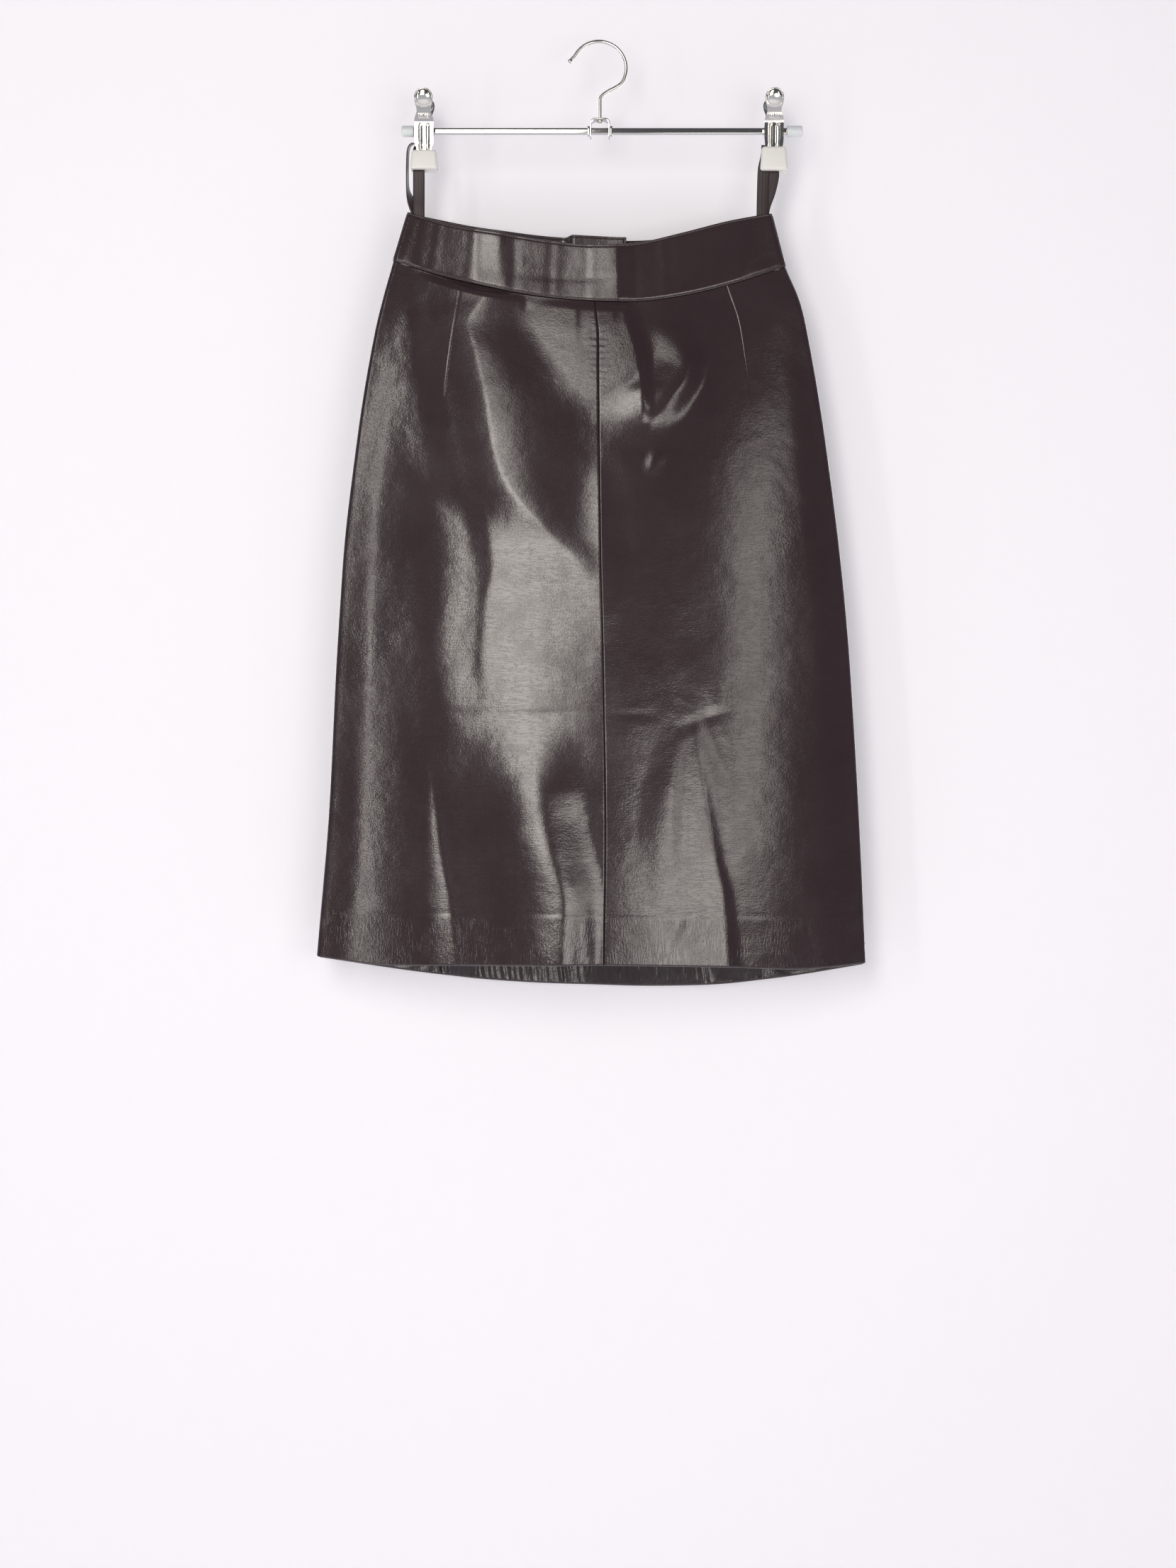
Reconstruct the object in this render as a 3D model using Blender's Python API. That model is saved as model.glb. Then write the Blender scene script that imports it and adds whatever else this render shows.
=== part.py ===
"""Leather pencil skirt, hung by its two waist ribbons from a metal clip hanger.

Sizes are in millimetres unless a name says otherwise, and are turned to metres where a mesh is made.
+Z is up, the front of the skirt faces -Y, and "left" and "right" are -X and +X as seen from the front.
The origin is the underside of the hook at its highest point, where a rail or a peg carries the hanger.
"""

import math

import bmesh
import bpy
from mathutils import Matrix, Vector

MM = 0.001
GAP = 0.3  # clearance between two pieces that touch

# ---- the skirt's cut ----
LEATHER = 1.2  # one layer
HEM_WALL = 2.6  # the panel and its turned-up hem, glued
HEM_HEIGHT = 45.0
BAND_PROUD = 1.0  # how far the waistband stands outside the panels
BAND_INNER = 2.0  # how far its inner face lies inside the panels' outer face
SIDE_RADIUS = 4.2  # outer radius of the fold at the side seams
SIDE_SHARE = 0.03  # share of each half of the ring that this fold takes
SIDE_STEPS = 3  # faces round it
PANEL_STEPS = 9  # faces from it to the panel's other edge

CENTRE_FRONT = (0.028, 0.044)  # where the seam runs across the front, at the waist seam and at the hem
CENTRE_BACK = -0.09

# ---- the skirt's form: one row for each section, at a distance down the side seam from the waist seam ----
SECTION_COLUMNS = ("down", "left", "right", "front", "back")
SECTIONS = (
    (-46.0, -165.4, 149.4, 15.0, 16.0),
    (-22.0, -172.0, 155.5, 15.5, 16.5),
    (0.0, -178.2, 161.5, 17.0, 17.5),
    (30.0, -186.7, 174.1, 20.5, 21.0),
    (60.0, -194.0, 181.1, 24.0, 24.0),
    (120.0, -204.8, 191.6, 30.0, 29.0),
    (180.0, -213.1, 200.2, 34.0, 32.0),
    (240.0, -220.2, 207.8, 37.0, 33.5),
    (300.0, -224.6, 214.0, 39.0, 34.5),
    (360.0, -228.2, 218.6, 41.0, 35.0),
    (480.0, -234.2, 225.6, 44.0, 36.0),
    (602.0, -244.4, 231.0, 46.0, 38.0),
)

# ---- heights of the cut edges: one row for each station across, from the left side seam to the right ----
EDGE_COLUMNS = ("across", "top_front", "top_back", "seam_front", "seam_back", "hem_front", "hem_back")
EDGES = (
    (-1.00, -146.4, -146.4, -188.8, -188.8, -791.0, -791.0),
    (-0.75, -160.0, -153.6, -203.5, -198.0, -797.0, -801.5),
    (-0.50, -167.3, -159.3, -214.5, -205.5, -797.0, -810.5),
    (-0.25, -173.7, -164.0, -222.5, -211.0, -796.5, -816.0),
    (0.00, -177.7, -166.5, -226.5, -213.5, -796.0, -818.7),
    (0.25, -176.0, -168.0, -226.8, -214.0, -797.0, -819.5),
    (0.50, -166.8, -164.5, -220.5, -210.0, -798.5, -817.0),
    (0.75, -156.0, -156.5, -209.0, -203.0, -801.0, -808.5),
    (1.00, -147.7, -147.7, -193.7, -193.7, -797.0, -797.0),
)

# ---- the largest folds: soft ridges (lift > 0) and troughs between two points of one side ----
FOLD_COLUMNS = ("side", "x_from", "z_from", "x_to", "z_to", "half_width", "lift")
FOLDS = (
    ("front", 2.0, -300.0, 5.0, -640.0, 75.0, 3.5),  # ridge that the centre seam rides on
    ("front", -118.0, -250.0, -95.0, -480.0, 34.0, -3.0),  # trough beside the left dart
    ("front", 78.0, -250.0, 60.0, -420.0, 42.0, -3.5),  # dent right of the centre seam
    ("front", 62.0, -560.0, 130.0, -600.0, 36.0, -2.5),  # pinch on the right thigh
    ("front", -165.0, -620.0, -158.0, -800.0, 24.0, 3.0),  # ridge that rises from the left hem
    ("front", 48.0, -660.0, 40.0, -800.0, 30.0, 2.5),  # ridge that rises from the right hem
    ("back", -95.0, -260.0, -80.0, -520.0, 50.0, -3.0),
    ("back", 90.0, -300.0, 70.0, -560.0, 50.0, -3.0),
    ("back", -20.0, -600.0, -10.0, -810.0, 60.0, 3.0),
)

# ---- zip in the centre-back seam ----
ZIP_LENGTH = 190.0
ZIP_CHANNEL = 9.0  # opening between the two leather edges
ZIP_CLOSING = 12.0  # height over which it closes below the zip
ZIP_TAPE = (22.0, 1.0)  # width, thickness
TAPE_CLEAR = 0.5  # between the panels' inner face and the tape
SLIDER_DOWN = 14.0  # from the waist seam to the slider's middle
SLIDER_BODY = (7.0, 1.7, 10.0)
BRIDGE_WIDTH = 1.6
BRIDGE_BAR = 1.2
BRIDGE_SPAN = 7.0
BRIDGE_ROOM = 1.9  # space under the bridge, for the pull's crossbar
PULL = (6.0, 1.2, 24.0)
PULL_EYE = (2.9, 6.6)
PULL_CROSSBAR = 1.2
PULL_DROP = 1.1  # from the bridge's upper end to the middle of the crossbar
PULL_ROUND = 1.3

FRAME_STEP = 8.0  # distance above and below a point that gives the wall's slope there

# ---- waistband closure ----
UNDERLAP = 48.0  # how far the left end of the band runs past the centre back
UNDERLAP_INSET = 6.9  # how much further in it lies there, leaving room for hook and bar
UNDERLAP_RAISE = 1.6
LAP_BEND = (0.045, 0.004)  # shares across, before the centre back, where it starts and ends bending in
WAIST_HOOK = (11.0, 8.0)  # length, width
WAIST_HOOK_AT = 0.55  # share of the underlap
HOOK_SHEET = 0.7
HOOK_ROOM = 1.6
WAIST_BAR_WIRE = 0.9
WAIST_BAR_FOOT = 4.0

# ---- hanger ----
BAR_SIZE = 5.0
BAR_Z = -76.5
BAR_ENDS = (-168.0, 173.5)
WIRE_RADIUS = 1.5
HOOK_RADIUS = 23.5  # to the middle of the wire
HOOK_ARC = (152.0, -50.0)  # degrees from +X, from the tip's side to where it turns back to the stem
HOOK_TIP = (-25.8, -16.4)
HOOK_RETURN = 12.0  # radius of the turn into the stem
STEM_X = 0.9
STEM_SLIDE = 30.0  # height over which the curve moves across to the stem
BALL = (1.0, 1.9)  # radii of the tip
RIVET = {"radius": 3.0, "head": 1.2, "crown": 0.5}
SADDLE = {"half_width": 8.5, "depth": 12.0, "sheet": 1.1, "top": -66.3, "bottom": -82.0, "corner": 4.0}
STOP_LENGTH = 1.9
STOP_WALL = 0.9
CAP_RADIUS = 4.8
CAP_CHAMFER = 0.8
CAPS = {"left": (-171.0, -160.4), "right": (162.8, 176.2)}

# ---- clips ----
CLIP_X = {"left": -151.2, "right": 151.3}
TIP_HEIGHTS = {"left": (-93.8, -110.6), "right": (-91.0, -111.6)}
PLATE = 0.8
JAW_FACE = 1.45  # from the middle plane to the rubber
PLATE_COLUMNS = ("z", "half_width", "stand_off", "flange")
PLATE_ROWS = (
    (-43.2, 2.6, 17.6, 0.6),
    (-44.4, 4.9, 17.2, 0.8),
    (-47.0, 7.1, 16.2, 1.0),
    (-51.0, 8.0, 14.8, 1.0),
    (-55.0, 7.5, 13.4, 1.0),
    (-58.5, 6.4, 12.2, 1.0),
    (-61.7, 6.0, 11.0, 1.0),
    (-65.0, 7.2, 9.9, 1.2),
    (-68.0, 8.2, 8.8, 2.0),
    (-71.0, 8.2, 7.9, 11.4),
    (-81.6, 8.2, 6.4, 9.9),
    (-84.0, 8.2, 6.1, 1.4),
    (-90.0, 7.6, 5.7, 1.0),
)
TONGUE = {"half_width": 6.8, "stand_off": 5.6, "top": -91.0, "bottom": -104.0}
EARS_FROM = -66.0  # height below which a plate has ears
BACK_PLATE_NEST = 1.1  # the back plate's ears lie this much inside the front plate's
TIP = {"half_width": 11.0, "outer_face": 8.8, "spread": 1.1, "slope": 0.8, "round": 1.5}
SPRING = {"wire": 0.6, "radius": 4.55, "turns": 4, "half_length": 4.6, "start": 150.0, "short": 120.0}
SPRING_LEG = (2.6, 11.0)  # outwards, up

# ---- hanger ribbons: the route of each loop, with the twist of its width about the route ----
RIBBON_WIDTH = 9.0
RIBBON_THICK = 1.0
RIBBON_COLUMNS = ("x", "y", "z", "twist")
RIBBON_STEPS = 2  # stations from one row to the next
RIBBON_LEFT = (
    (-156.0, -1.9, -172.0, 0.0),
    (-156.0, -1.9, -160.0, 0.0),
    (-156.0, -1.6, -146.0, 0.0),
    (-156.0, -0.65, -128.0, 0.0),
    (-156.0, -0.65, -108.0, 0.0),
    (-156.0, -0.65, -96.0, 0.0),
    (-156.0, -0.6, -93.4, 0.0),
    (-156.1, -0.4, -91.2, 28.0),
    (-157.0, 0.0, -88.9, 60.0),
    (-160.3, 0.3, -86.9, 70.0),
    (-163.8, 0.7, -89.0, 74.0),
    (-165.3, 1.2, -94.0, 77.0),
    (-165.8, 1.9, -104.0, 78.0),
    (-166.0, 2.2, -116.0, 78.0),
    (-165.4, 2.2, -127.0, 84.0),
    (-162.2, 1.6, -137.0, 119.0),
    (-157.9, 1.1, -147.0, 151.0),
    (-156.6, 1.2, -158.0, 157.0),
    (-156.2, 1.2, -172.0, 157.0),
)
RIBBON_RIGHT = (
    (141.6, -1.7, -174.0, 0.0),
    (141.6, -1.7, -160.0, 0.0),
    (141.5, -1.4, -147.0, 0.0),
    (141.9, -0.75, -128.0, 0.0),
    (142.6, -0.65, -110.0, 0.0),
    (144.2, -0.65, -102.0, 0.0),
    (145.4, -0.65, -96.5, 0.0),
    (145.8, -0.65, -92.0, 0.0),
    (145.8, -0.65, -89.25, 0.0),
    (145.8, -0.46, -88.79, 0.0),
    (145.8, 0.0, -88.6, 0.0),
    (145.8, 0.46, -88.79, 0.0),
    (145.8, 0.65, -89.25, 0.0),
    (145.8, 0.65, -92.0, 0.0),
    (146.4, 0.65, -96.5, 0.0),
    (148.2, 0.65, -102.0, 0.0),
    (150.6, 0.65, -110.0, 0.0),
    (151.1, 0.65, -115.0, 0.0),
    (148.0, 0.8, -129.0, 0.0),
    (143.2, 1.0, -143.0, 0.0),
    (141.6, 1.3, -158.0, 0.0),
    (141.6, 1.3, -174.0, 0.0),
)


def clear_scene():
    for obj in list(bpy.data.objects):
        bpy.data.objects.remove(obj, do_unlink=True)


def material(name, colour, roughness, metallic=0.0):
    made = bpy.data.materials.new(name)
    made.use_nodes = True
    shader = made.node_tree.nodes["Principled BSDF"]
    shader.inputs["Base Color"].default_value = (*colour, 1.0)
    shader.inputs["Roughness"].default_value = roughness
    shader.inputs["Metallic"].default_value = metallic
    return made


def finished(name, bm, finish, smooth_angle=35.0):
    """A bmesh in millimetres becomes one named object in metres."""
    bmesh.ops.recalc_face_normals(bm, faces=bm.faces)
    bmesh.ops.scale(bm, vec=(MM, MM, MM), verts=bm.verts)
    mesh = bpy.data.meshes.new(name)
    bm.to_mesh(mesh)
    bm.free()
    mesh.materials.append(finish)
    mesh.shade_smooth()
    mesh.set_sharp_from_angle(angle=math.radians(smooth_angle))
    obj = bpy.data.objects.new(name, mesh)
    bpy.context.scene.collection.objects.link(obj)
    return obj


# ---------------------------------------------------------------- the skirt's form


def column(rows, columns, name):
    """(first column, named column) of a table, as two lists."""
    index = columns.index(name)
    return [row[0] for row in rows], [row[index] for row in rows]


def smooth_read(table, at):
    """Reads a table between its rows along a curve that runs smoothly through them."""
    keys, values = table
    last = len(keys) - 1
    i = max(0, min(last - 1, sum(key <= at for key in keys) - 1))
    span = keys[i + 1] - keys[i]
    share = min(1.0, max(0.0, (at - keys[i]) / span))

    def slope(j):
        low, high = max(0, j - 1), min(last, j + 1)
        return (values[high] - values[low]) / (keys[high] - keys[low])

    square, cube = share**2, share**3
    return (
        (2 * cube - 3 * square + 1) * values[i]
        + (cube - 2 * square + share) * span * slope(i)
        + (3 * square - 2 * cube) * values[i + 1]
        + (cube - square) * span * slope(i + 1)
    )


SECTION = {name: column(SECTIONS, SECTION_COLUMNS, name) for name in SECTION_COLUMNS[1:]}
EDGE = {name: column(EDGES, EDGE_COLUMNS, name) for name in EDGE_COLUMNS[1:]}
SIDE_LENGTH = SECTIONS[-1][0]
BAND_LENGTH = -SECTIONS[0][0]


def bump(distance):
    """1 at 0, falling smoothly to 0 at 1 and beyond."""
    return (1 - distance**2) ** 2 if distance < 1 else 0.0


def fold_lift(side, x, z):
    """How far the folds of one side move a point outwards."""
    total = 0.0
    for row in FOLDS:
        fold = dict(zip(FOLD_COLUMNS, row))
        if fold["side"] != side:
            continue
        start = Vector((fold["x_from"], fold["z_from"]))
        line = Vector((fold["x_to"], fold["z_to"])) - start
        to_point = Vector((x, z)) - start
        along = to_point.dot(line) / line.length_squared
        off = (to_point - line * min(1.0, max(0.0, along))).length / fold["half_width"]
        ends = bump(abs(2 * along - 1) ** 2 * 0.8) if 0 <= along <= 1 else bump(0.8)
        total += fold["lift"] * bump(off) * ends
    return total


def ring_point(side, across, down, inset):
    """x and y of the skirt's wall. across is -1 at the left side seam and 1 at the right one, down is
    measured on the side seam, and inset goes inwards from the panels' outer face."""
    left, right, depth = (smooth_read(SECTION[name], down) for name in ("left", "right", side))
    middle, half = (left + right) / 2, (right - left) / 2 - SIDE_RADIUS
    bulge = depth - SIDE_RADIUS
    flat_share = 1 - SIDE_SHARE
    lens = max(-1.0, min(1.0, across / flat_share))
    lean = math.atan(2 * bulge * lens / half)
    past = max(0.0, abs(across) - flat_share) / SIDE_SHARE
    lean += math.copysign(past * (math.pi / 2 - abs(lean)), across)
    reach = SIDE_RADIUS - inset
    x = middle + half * lens + reach * math.sin(lean)
    outward = bulge * (1 - lens**2) + reach * math.cos(lean)
    return x, outward


def skirt_point(side, across, down, inset):
    """A point of the panels (down >= 0) or of the waistband (down < 0)."""
    x, outward = ring_point(side, across, down, inset)
    seam = smooth_read(EDGE["seam_" + side], across)
    if down >= 0:
        hem = smooth_read(EDGE["hem_" + side], across)
        z = seam + (hem - seam) * down / SIDE_LENGTH
        outward += fold_lift(side, x, z) * bump(abs(across) ** 4)
    else:
        top = smooth_read(EDGE["top_" + side], across)
        z = seam + (top - seam) * -down / BAND_LENGTH
    if side == "front":
        return Vector((x, -outward - GAP / 2, z))
    return Vector((x, outward + GAP / 2, z))


def spread(low, high, steps):
    return [low + (high - low) * i / steps for i in range(steps + 1)]


def wall(name, columns, rows, place, finish):
    """A thin closed wall over a grid. place(column, row, inner) gives the points of its two faces."""
    bm = bmesh.new()
    place_of = {key: bm.verts.layers.float.new(key) for key in ("column", "row")}
    wide, tall = len(columns) - 1, len(rows) - 1
    bmesh.ops.create_grid(bm, x_segments=wide, y_segments=tall, size=0.5)
    for vert in bm.verts:
        vert[place_of["column"]] = round((vert.co.x + 0.5) * wide)
        vert[place_of["row"]] = round((vert.co.y + 0.5) * tall)
    inner = bmesh.ops.extrude_face_region(bm, geom=bm.faces[:], use_keep_orig=True)["geom"]
    inner_verts = {item for item in inner if isinstance(item, bmesh.types.BMVert)}
    for vert in bm.verts:
        at = int(vert[place_of["column"]]), int(vert[place_of["row"]])
        vert.co = place(columns[at[0]], rows[at[1]], vert in inner_verts)
    return finished(name, bm, finish, smooth_angle=60.0)


def side_columns():
    """Shares from a side seam (0) to a panel's other edge (1), closer together round the side fold."""
    fold = spread(0.0, 1.0, SIDE_STEPS)[:-1]
    return [("fold", share) for share in fold] + [("flat", share) for share in spread(0.0, 1.0, PANEL_STEPS)]


def across_at(kind_and_share, side_at, edge):
    kind, share = kind_and_share
    fold_end = side_at * (1 - SIDE_SHARE)
    if kind == "fold":
        return side_at + (fold_end - side_at) * share
    return fold_end + (edge - fold_end) * share


PANEL_ROWS = spread(0.0, SIDE_LENGTH - HEM_HEIGHT - 1, 15) + spread(SIDE_LENGTH - HEM_HEIGHT, SIDE_LENGTH, 2)


def seam_edge(side, side_at, down):
    """Where a panel ends at the centre seam, with half the gap or half the zip's channel left open."""
    left, right = (smooth_read(SECTION[name], down) for name in ("left", "right"))
    half = (right - left) / 2
    if side == "front":
        centre = CENTRE_FRONT[0] + (CENTRE_FRONT[1] - CENTRE_FRONT[0]) * down / SIDE_LENGTH
        return centre + side_at * GAP / 2 / half
    closing = min(1.0, max(0.0, (ZIP_LENGTH - down) / ZIP_CLOSING))
    return CENTRE_BACK + side_at * (GAP + (ZIP_CHANNEL - GAP) * closing) / 2 / half


def panel(side, hand, finish):
    side_at = -1 if hand == "left" else 1

    def place(column_at, down, inner):
        across = across_at(column_at, side_at, seam_edge(side, side_at, down))
        thick = HEM_WALL if down >= SIDE_LENGTH - HEM_HEIGHT else LEATHER
        shift = Vector((0, 0, -GAP)) if down == 0 else Vector()
        return skirt_point(side, across, down, thick if inner else 0.0) + shift

    wall(f"{side}_panel_{hand}", side_columns(), PANEL_ROWS, place, finish)


BAND_ROWS = spread(-BAND_LENGTH, -0.01, 3)


def band_front(finish):
    folds = spread(0.0, SIDE_SHARE, SIDE_STEPS)[:-1]
    middle = spread(-1 + SIDE_SHARE, 1 - SIDE_SHARE, 20)
    columns = [-1 + fold for fold in folds] + middle + [1 - fold for fold in reversed(folds)]

    def place(across, down, inner):
        return skirt_point("front", across, down, BAND_INNER if inner else -BAND_PROUD)

    wall("waistband_front", columns, BAND_ROWS, place, finish)


def half_width_of_band():
    return (SECTION["right"][1][0] - SECTION["left"][1][0]) / 2


def band_back(hand, finish):
    """The left end runs on past the centre back as an underlap, inside the right end."""
    side_at = -1 if hand == "left" else 1
    lap_start, lap_bent = (CENTRE_BACK - share for share in LAP_BEND)
    lap_end = CENTRE_BACK + UNDERLAP / half_width_of_band()
    edge = lap_start if hand == "left" else CENTRE_BACK
    columns = [across_at(item, side_at, edge) for item in side_columns()]
    if hand == "left":
        columns += spread(lap_start, lap_bent, 3)[1:] + spread(CENTRE_BACK, lap_end, 4)[1:]

    def place(across, down, inner):
        share = min(1.0, max(0.0, (across - lap_start) / (lap_bent - lap_start)))
        lapped = share * share * (3 - 2 * share) if hand == "left" else 0.0
        inset = (BAND_INNER if inner else -BAND_PROUD) + lapped * UNDERLAP_INSET
        return skirt_point("back", across, down, inset) + Vector((0, 0, lapped * UNDERLAP_RAISE))

    wall(f"waistband_back_{hand}", columns, BAND_ROWS, place, finish)


# ---------------------------------------------------------------- small solids


def box(bm, low, high):
    """Adds a box between two corners to a bmesh and returns its vertices."""
    low, high = Vector(low), Vector(high)
    size = high - low
    matrix = Matrix.Translation((low + high) / 2) @ Matrix.Diagonal((*size, 1.0))
    return bmesh.ops.create_cube(bm, size=1.0, matrix=matrix)["verts"]


def boolean(obj, operation, other):
    """Adds a Boolean with a helper object that isn't a piece of its own."""
    other.hide_render = True
    other.display_type = "WIRE"
    modifier = obj.modifiers.new(operation.lower(), "BOOLEAN")
    modifier.operation = operation
    modifier.object = other


def box_object(name, low, high, finish):
    bm = bmesh.new()
    box(bm, low, high)
    return finished(name, bm, finish)


def union_of_boxes(name, boxes, finish):
    """One solid from boxes that overlap clearly."""
    first = box_object(name, *boxes[0], finish)
    for i, corners in enumerate(boxes[1:]):
        boolean(first, "UNION", box_object(f"{name}_add_{i}", *corners, finish))
    return first


def sweep(name, stations, sides, finish):
    """A round bar along a route. Each station is a point and a radius."""
    bm = bmesh.new()
    points = [Vector(point) for point, _ in stations]
    across, last_ring = None, None
    for i, (_, radius) in enumerate(stations):
        heading = (points[min(i + 1, len(points) - 1)] - points[max(i - 1, 0)]).normalized()
        start = heading.orthogonal() if across is None else across
        across = (start - heading * heading.dot(start)).normalized()
        turned = Matrix((across, heading.cross(across), heading)).transposed().to_4x4()
        place = Matrix.Translation(points[i]) @ turned
        circle = bmesh.ops.create_circle(bm, cap_ends=False, segments=sides, radius=radius, matrix=place)
        ring = {edge for vert in circle["verts"] for edge in vert.link_edges}
        if last_ring is None:
            bmesh.ops.contextual_create(bm, geom=list(ring))
        else:
            bmesh.ops.bridge_loops(bm, edges=list(last_ring | ring))
        last_ring = ring
    bmesh.ops.contextual_create(bm, geom=list(last_ring))
    return finished(name, bm, finish)


def strip(name, route, width, thick, finish):
    """A flat ribbon. Its width starts along X, is carried along the route, and is twisted as each row says."""
    rows = [dict(zip(RIBBON_COLUMNS, row)) for row in route]
    centres = [Vector((row["x"], row["y"], row["z"])) for row in rows]
    frames, carried = [], Vector((1, 0, 0))
    for i, row in enumerate(rows):
        heading = (centres[min(i + 1, len(rows) - 1)] - centres[max(i - 1, 0)]).normalized()
        carried = (carried - heading * carried.dot(heading)).normalized()
        wide = Matrix.Rotation(math.radians(row["twist"]), 3, heading) @ carried
        frames.append((centres[i], wide, heading.cross(wide)))

    def place(column_at, row_at, inner):
        centre, wide, face = frames[row_at]
        return centre + wide * column_at * width / 2 + face * (0.5 if inner else -0.5) * thick

    return wall(name, [-1.0, 1.0], list(range(len(route))), place, finish)


def bent_sheet(name, outline, axis, wide, thick, finish):
    """A strap bent along an outline. Its thickness goes to the side of axis x heading."""

    def place(row_at, column_at, inner):
        ahead, behind = outline[min(row_at + 1, len(outline) - 1)], outline[max(row_at - 1, 0)]
        inward = axis.cross((ahead - behind).normalized())
        return outline[row_at] + axis * column_at * wide / 2 + (inward * thick if inner else Vector())

    return wall(name, list(range(len(outline))), [-1.0, 1.0], place, finish)


def smooth_route(rows, steps):
    """More stations between the rows, on a smooth curve through them."""
    keys = [0.0]
    for row, after in zip(rows, rows[1:]):
        keys.append(keys[-1] + math.dist(row[:3], after[:3]))
    tables = [(keys, [row[i] for row in rows]) for i in range(len(rows[0]))]
    stations = [at for low, high in zip(keys, keys[1:]) for at in spread(low, high, steps)[:-1]]
    return [tuple(smooth_read(table, at) for table in tables) for at in [*stations, keys[-1]]]


# ---------------------------------------------------------------- zip and waist closure


def surface_frame(side, across, down):
    """Local axes on the skirt: X along the ring, Y outwards, Z up the wall, from the outer face."""
    here = skirt_point(side, across, down, 0.0)
    above, below = (skirt_point(side, across, down + step, 0.0) for step in (-FRAME_STEP, FRAME_STEP))
    up = (above - below).normalized()
    out = Vector((0, 1, 0)) if side == "back" else Vector((0, -1, 0))
    out = (out - up * out.dot(up)).normalized()
    return Matrix.Translation(here) @ Matrix((out.cross(up), out, up)).transposed().to_4x4()


def set_on(obj, frame):
    """Places an object, and its Boolean helpers, on a local frame given in millimetres."""
    for placed in [obj, *(modifier.object for modifier in obj.modifiers)]:
        placed.matrix_world = Matrix.Scale(MM, 4) @ frame @ Matrix.Scale(1 / MM, 4)


def zip_tape(finish):
    width, thick = ZIP_TAPE
    start = LEATHER + TAPE_CLEAR
    rows = [1.0, *(row for row in PANEL_ROWS if 0 < row < ZIP_LENGTH), ZIP_LENGTH + 8.0]

    def place(column_at, down, inner):
        left, right = (smooth_read(SECTION[name], down) for name in ("left", "right"))
        across = CENTRE_BACK + column_at * width / (right - left)
        return skirt_point("back", across, down, start + thick if inner else start)

    wall("zip_tape", [-1.0, -0.4, 0.4, 1.0], rows, place, finish)


def zip_slider(frame, finish):
    """A body on the tape, with a bridge that stands over the pull's crossbar."""
    wide, thick, tall = SLIDER_BODY
    base = GAP - LEATHER - TAPE_CLEAR
    top = base + thick
    bridge = BRIDGE_WIDTH / 2
    crown = top + BRIDGE_ROOM
    half_span = BRIDGE_SPAN / 2
    boxes = [
        ((-wide / 2, base, -tall / 2), (wide / 2, top, tall / 2)),
        ((-bridge, top - 0.5, -half_span), (bridge, crown + BRIDGE_BAR, -half_span + BRIDGE_BAR)),
        ((-bridge, top - 0.5, half_span - BRIDGE_BAR), (bridge, crown + BRIDGE_BAR, half_span)),
        ((-bridge, crown, -half_span), (bridge, crown + BRIDGE_BAR, half_span)),
    ]
    set_on(union_of_boxes("zip_slider", boxes, finish), frame)
    return top + BRIDGE_ROOM / 2


def zip_pull(frame, hinge_out, finish):
    """A tab whose eye goes round the bridge. It is made about its crossbar, which turns under the bridge."""
    wide, thick, tall = PULL
    eye_wide, eye_tall = PULL_EYE
    bar = PULL_CROSSBAR / 2
    bm = bmesh.new()
    box(bm, (-wide / 2, -thick / 2, -tall + bar), (wide / 2, thick / 2, bar))
    uprights = [edge for edge in bm.edges if abs(edge.verts[0].co.y - edge.verts[1].co.y) > thick / 2]
    bmesh.ops.bevel(bm, geom=uprights, offset=PULL_ROUND, segments=3, profile=0.5, affect="EDGES")
    tab = finished("zip_pull", bm, finish)
    eye = (-eye_wide / 2, -thick, -bar - eye_tall), (eye_wide / 2, thick, -bar)
    boolean(tab, "DIFFERENCE", box_object("zip_pull_eye", *eye, finish))
    hinge = frame @ Matrix.Translation((0, hinge_out, BRIDGE_SPAN / 2 - BRIDGE_BAR - PULL_DROP))
    set_on(tab, hinge)


def waist_closure(finish):
    """A flat hook on the inside of the band's right end, caught on a bar sewn to the underlap."""
    at = CENTRE_BACK + WAIST_HOOK_AT * UNDERLAP / half_width_of_band()
    frame = surface_frame("back", at, -BAND_LENGTH / 2)
    long, tall = WAIST_HOOK
    outer = -(BAND_INNER + GAP)
    inner = outer - 2 * HOOK_SHEET - HOOK_ROOM
    soft = 0.6
    outline = [(long / 2, outer), (-long / 2 + soft, outer), (-long / 2, outer - soft)]
    outline += [(-long / 2, inner + soft), (-long / 2 + soft, inner), (1.0, inner)]
    points = [Vector((x, out, 0)) for x, out in outline]
    set_on(bent_sheet("waist_hook", points, Vector((0, 0, 1)), tall, HOOK_SHEET, finish), frame)
    middle = outer - HOOK_SHEET - HOOK_ROOM / 2
    wire = WAIST_BAR_WIRE / 2
    foot = -(UNDERLAP_INSET - BAND_PROUD - GAP) + wire
    bar_x = -long / 2 + HOOK_SHEET + GAP + 2 * wire
    end = tall / 2 + 0.6
    route = [(bar_x + WAIST_BAR_FOOT, foot, -end), (bar_x + wire, foot, -end), (bar_x, foot + wire, -end)]
    route += [(bar_x, middle - wire, -end), (bar_x, middle, wire - end)]
    mirrored = [(x, out, -up) for x, out, up in reversed(route)]
    set_on(sweep("waist_bar", [(point, wire) for point in route + mirrored], 6, finish), frame)


# ---------------------------------------------------------------- hanger


def arc(centre, radius, start, end, steps):
    """Points in the XZ plane, with angles in degrees from +X."""
    middle = Vector((centre[0], 0.0, centre[1]))
    angles = [math.radians(angle) for angle in spread(start, end, steps)]
    return [middle + radius * Vector((math.cos(angle), 0.0, math.sin(angle))) for angle in angles]


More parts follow.
